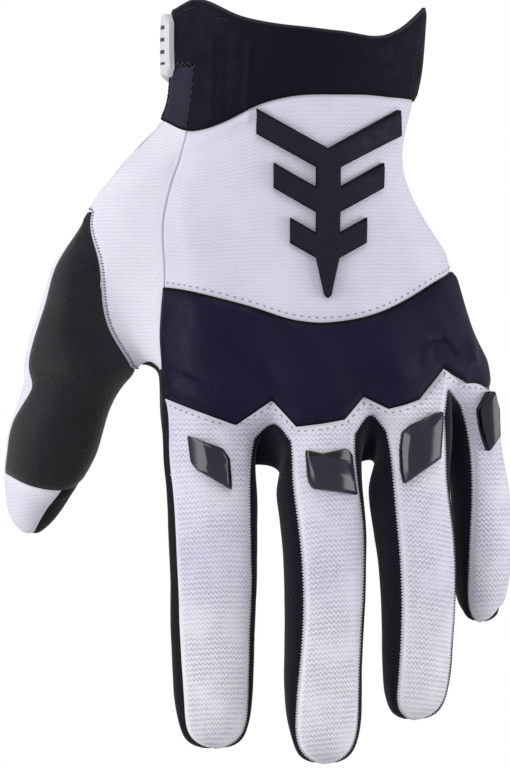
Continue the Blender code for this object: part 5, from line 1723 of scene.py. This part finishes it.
def studio():
    low, high = model_box
    middle = (low + high) / 2
    scene = bpy.context.scene
    camera = bpy.data.objects.new("camera", bpy.data.cameras.new("camera"))
    scene.collection.objects.link(camera)
    centre = [(PHOTO_SIZE[k] / 2 - ORIGIN_PIXEL[k]) * MM_PER_PIXEL * MM for k in (0, 1)]
    camera.location = (centre[0], -CAMERA_DISTANCE, -centre[1])
    camera.rotation_euler = (math.pi / 2, 0, 0)
    camera.data.sensor_width = SENSOR
    camera.data.lens = SENSOR * CAMERA_DISTANCE / (PHOTO_SIZE[1] * MM_PER_PIXEL * MM)
    scene.camera = camera
    for name, offset, size, level in LIGHTS:
        light(name, middle + Vector(offset), middle, size, level)
    mesh = bpy.data.meshes.new("floor")
    z = low.z - FLOOR_GAP
    half = FLOOR_SIZE / 2
    square = ((-half, -half), (half, -half), (half, half), (-half, half))
    mesh.from_pydata([(middle.x + x, middle.y + y, z) for x, y in square], [], [(0, 1, 2, 3)])
    paint = Finish("pale_floor", 0.9, 0.2)
    mesh.materials.append(paint.done(paint.mixed(paint.noise(FLOOR_PATCHES), *FLOOR_TONES)))
    floor = bpy.data.objects.new("floor", mesh)
    scene.collection.objects.link(floor)
    world = bpy.data.worlds.new("studio")
    world.use_nodes = True
    nodes, links = world.node_tree.nodes, world.node_tree.links
    seen, lit = nodes["Background"], nodes.new("ShaderNodeBackground")
    seen.inputs["Color"].default_value = lit.inputs["Color"].default_value = (1, 1, 1, 1)
    lit.inputs["Strength"].default_value = WORLD_LEVEL
    mix, path = nodes.new("ShaderNodeMixShader"), nodes.new("ShaderNodeLightPath")
    links.new(path.outputs["Is Camera Ray"], mix.inputs[0])
    links.new(lit.outputs[0], mix.inputs[1])
    links.new(seen.outputs[0], mix.inputs[2])
    links.new(mix.outputs[0], nodes["World Output"].inputs["Surface"])
    scene.world = world
    scene.view_settings.view_transform = "Standard"


def front_path(surface, spots):
    """Points of the cloth behind some (x, z) places, closely spaced."""
    flat = np.array([(x, 0.0, z) for x, z in spots])
    fine = spaced(flat, PATH_STEP)[0]
    return np.array([surface.hit(*front_ray(x, z))[0] for x, _, z in fine])


def build_stitches(skin, surface, looks):
    for name, inside in (("hand_seam_stitches", ["hand_back"]), ("finger_seam_stitches", FINGER_BACKS)):
        strands = []
        for points, inward, _ in seams_between(skin, inside, ["knuckle_band"]):
            strands += running_stitches(surface, points + inward * STITCH_INSET)
        thread_piece(name, strands, looks["painted_shade_thread"])
    strands = []
    for points, inward, _ in seams_between(skin, ["thumb_gusset"], ["thumb_panel"]):
        strands += overlock_stitches(surface, (points + inward * GUSSET_INSET, inward))
    thread_piece("gusset_overlock", strands, looks["painted_shade_thread"])
    strands = []
    for finger in FINGER_NAMES:
        for seam in seams_between(skin, [f"finger_back_{finger}"], FOURCHETTES):
            strands += overlock_stitches(surface, seam)
    thread_piece("finger_overlock", strands, looks["white_thread"])
    gusset_seams = seams_between(skin, ["hand_back"], ["thumb_gusset"])
    cords = [seam_cord(seam, *GUSSET_SEAM_CORD) for seam in gusset_seams]
    thread_piece("gusset_seam_cord", cords, looks["white_thread"])
    cords = []
    for panels in (["hand_back", "thumb_gusset"], ["palm"]):  # open runs, round the back and the palm
        cuff_seams = seams_between(skin, ["cuff", "cuff_gusset"], panels)
        cords += [seam_cord(seam, *CUFF_SEAM_CORD) for seam in cuff_seams]
    thread_piece("cuff_seam_cord", cords, looks["dark_thread"])
    strands = []
    for seam in seams_between(skin, ["cuff"], ["cuff_gusset"]):
        strands += zigzag_stitches(surface, seam)
    for row in CUFF_ROWS_OF_STITCHES:
        strands += running_stitches(surface, front_path(surface, row), *FINE_STITCH)
    thread_piece("cuff_stitches", strands, looks["dark_thread"])


def main():
    cage = build_cage()
    widen_webs(cage)
    cage, names = fitted_cage(cage)
    skins = {True: Skin(cage, names, 4), False: Skin(cage, names, 3)}
    bpy.data.objects.remove(cage)
    looks = finishes()
    surface = Surface()
    build_panels(skins, surface, looks)
    surface.close()
    for finger in FINGER_NAMES:
        build_guard(surface, finger, looks["guard_rubber"])
    build_badge(surface, looks["badge_rubber"])
    strap = [(angle, STRAP_HEIGHT) for angle in STRAP_ANGLES]
    webbed = looks["strap_webbing"], "strap_webbing"
    wrapped(surface, "closure_strap", strap, STRAP_GRID, STRAP_WALL, STRAP_BEVEL, *webbed)
    tab = [(angle, share * TAB_HEIGHT) for angle, share in TAB_COLUMNS]
    pale = looks["tab_rubber"], "tab_rubber"
    wrapped(surface, "strap_tab", tab, TAB_GRID, TAB_WALL, TAB_BEVEL, *pale, stiff=True)
    build_stitches(skins[True], surface, looks)
    studio()


main()
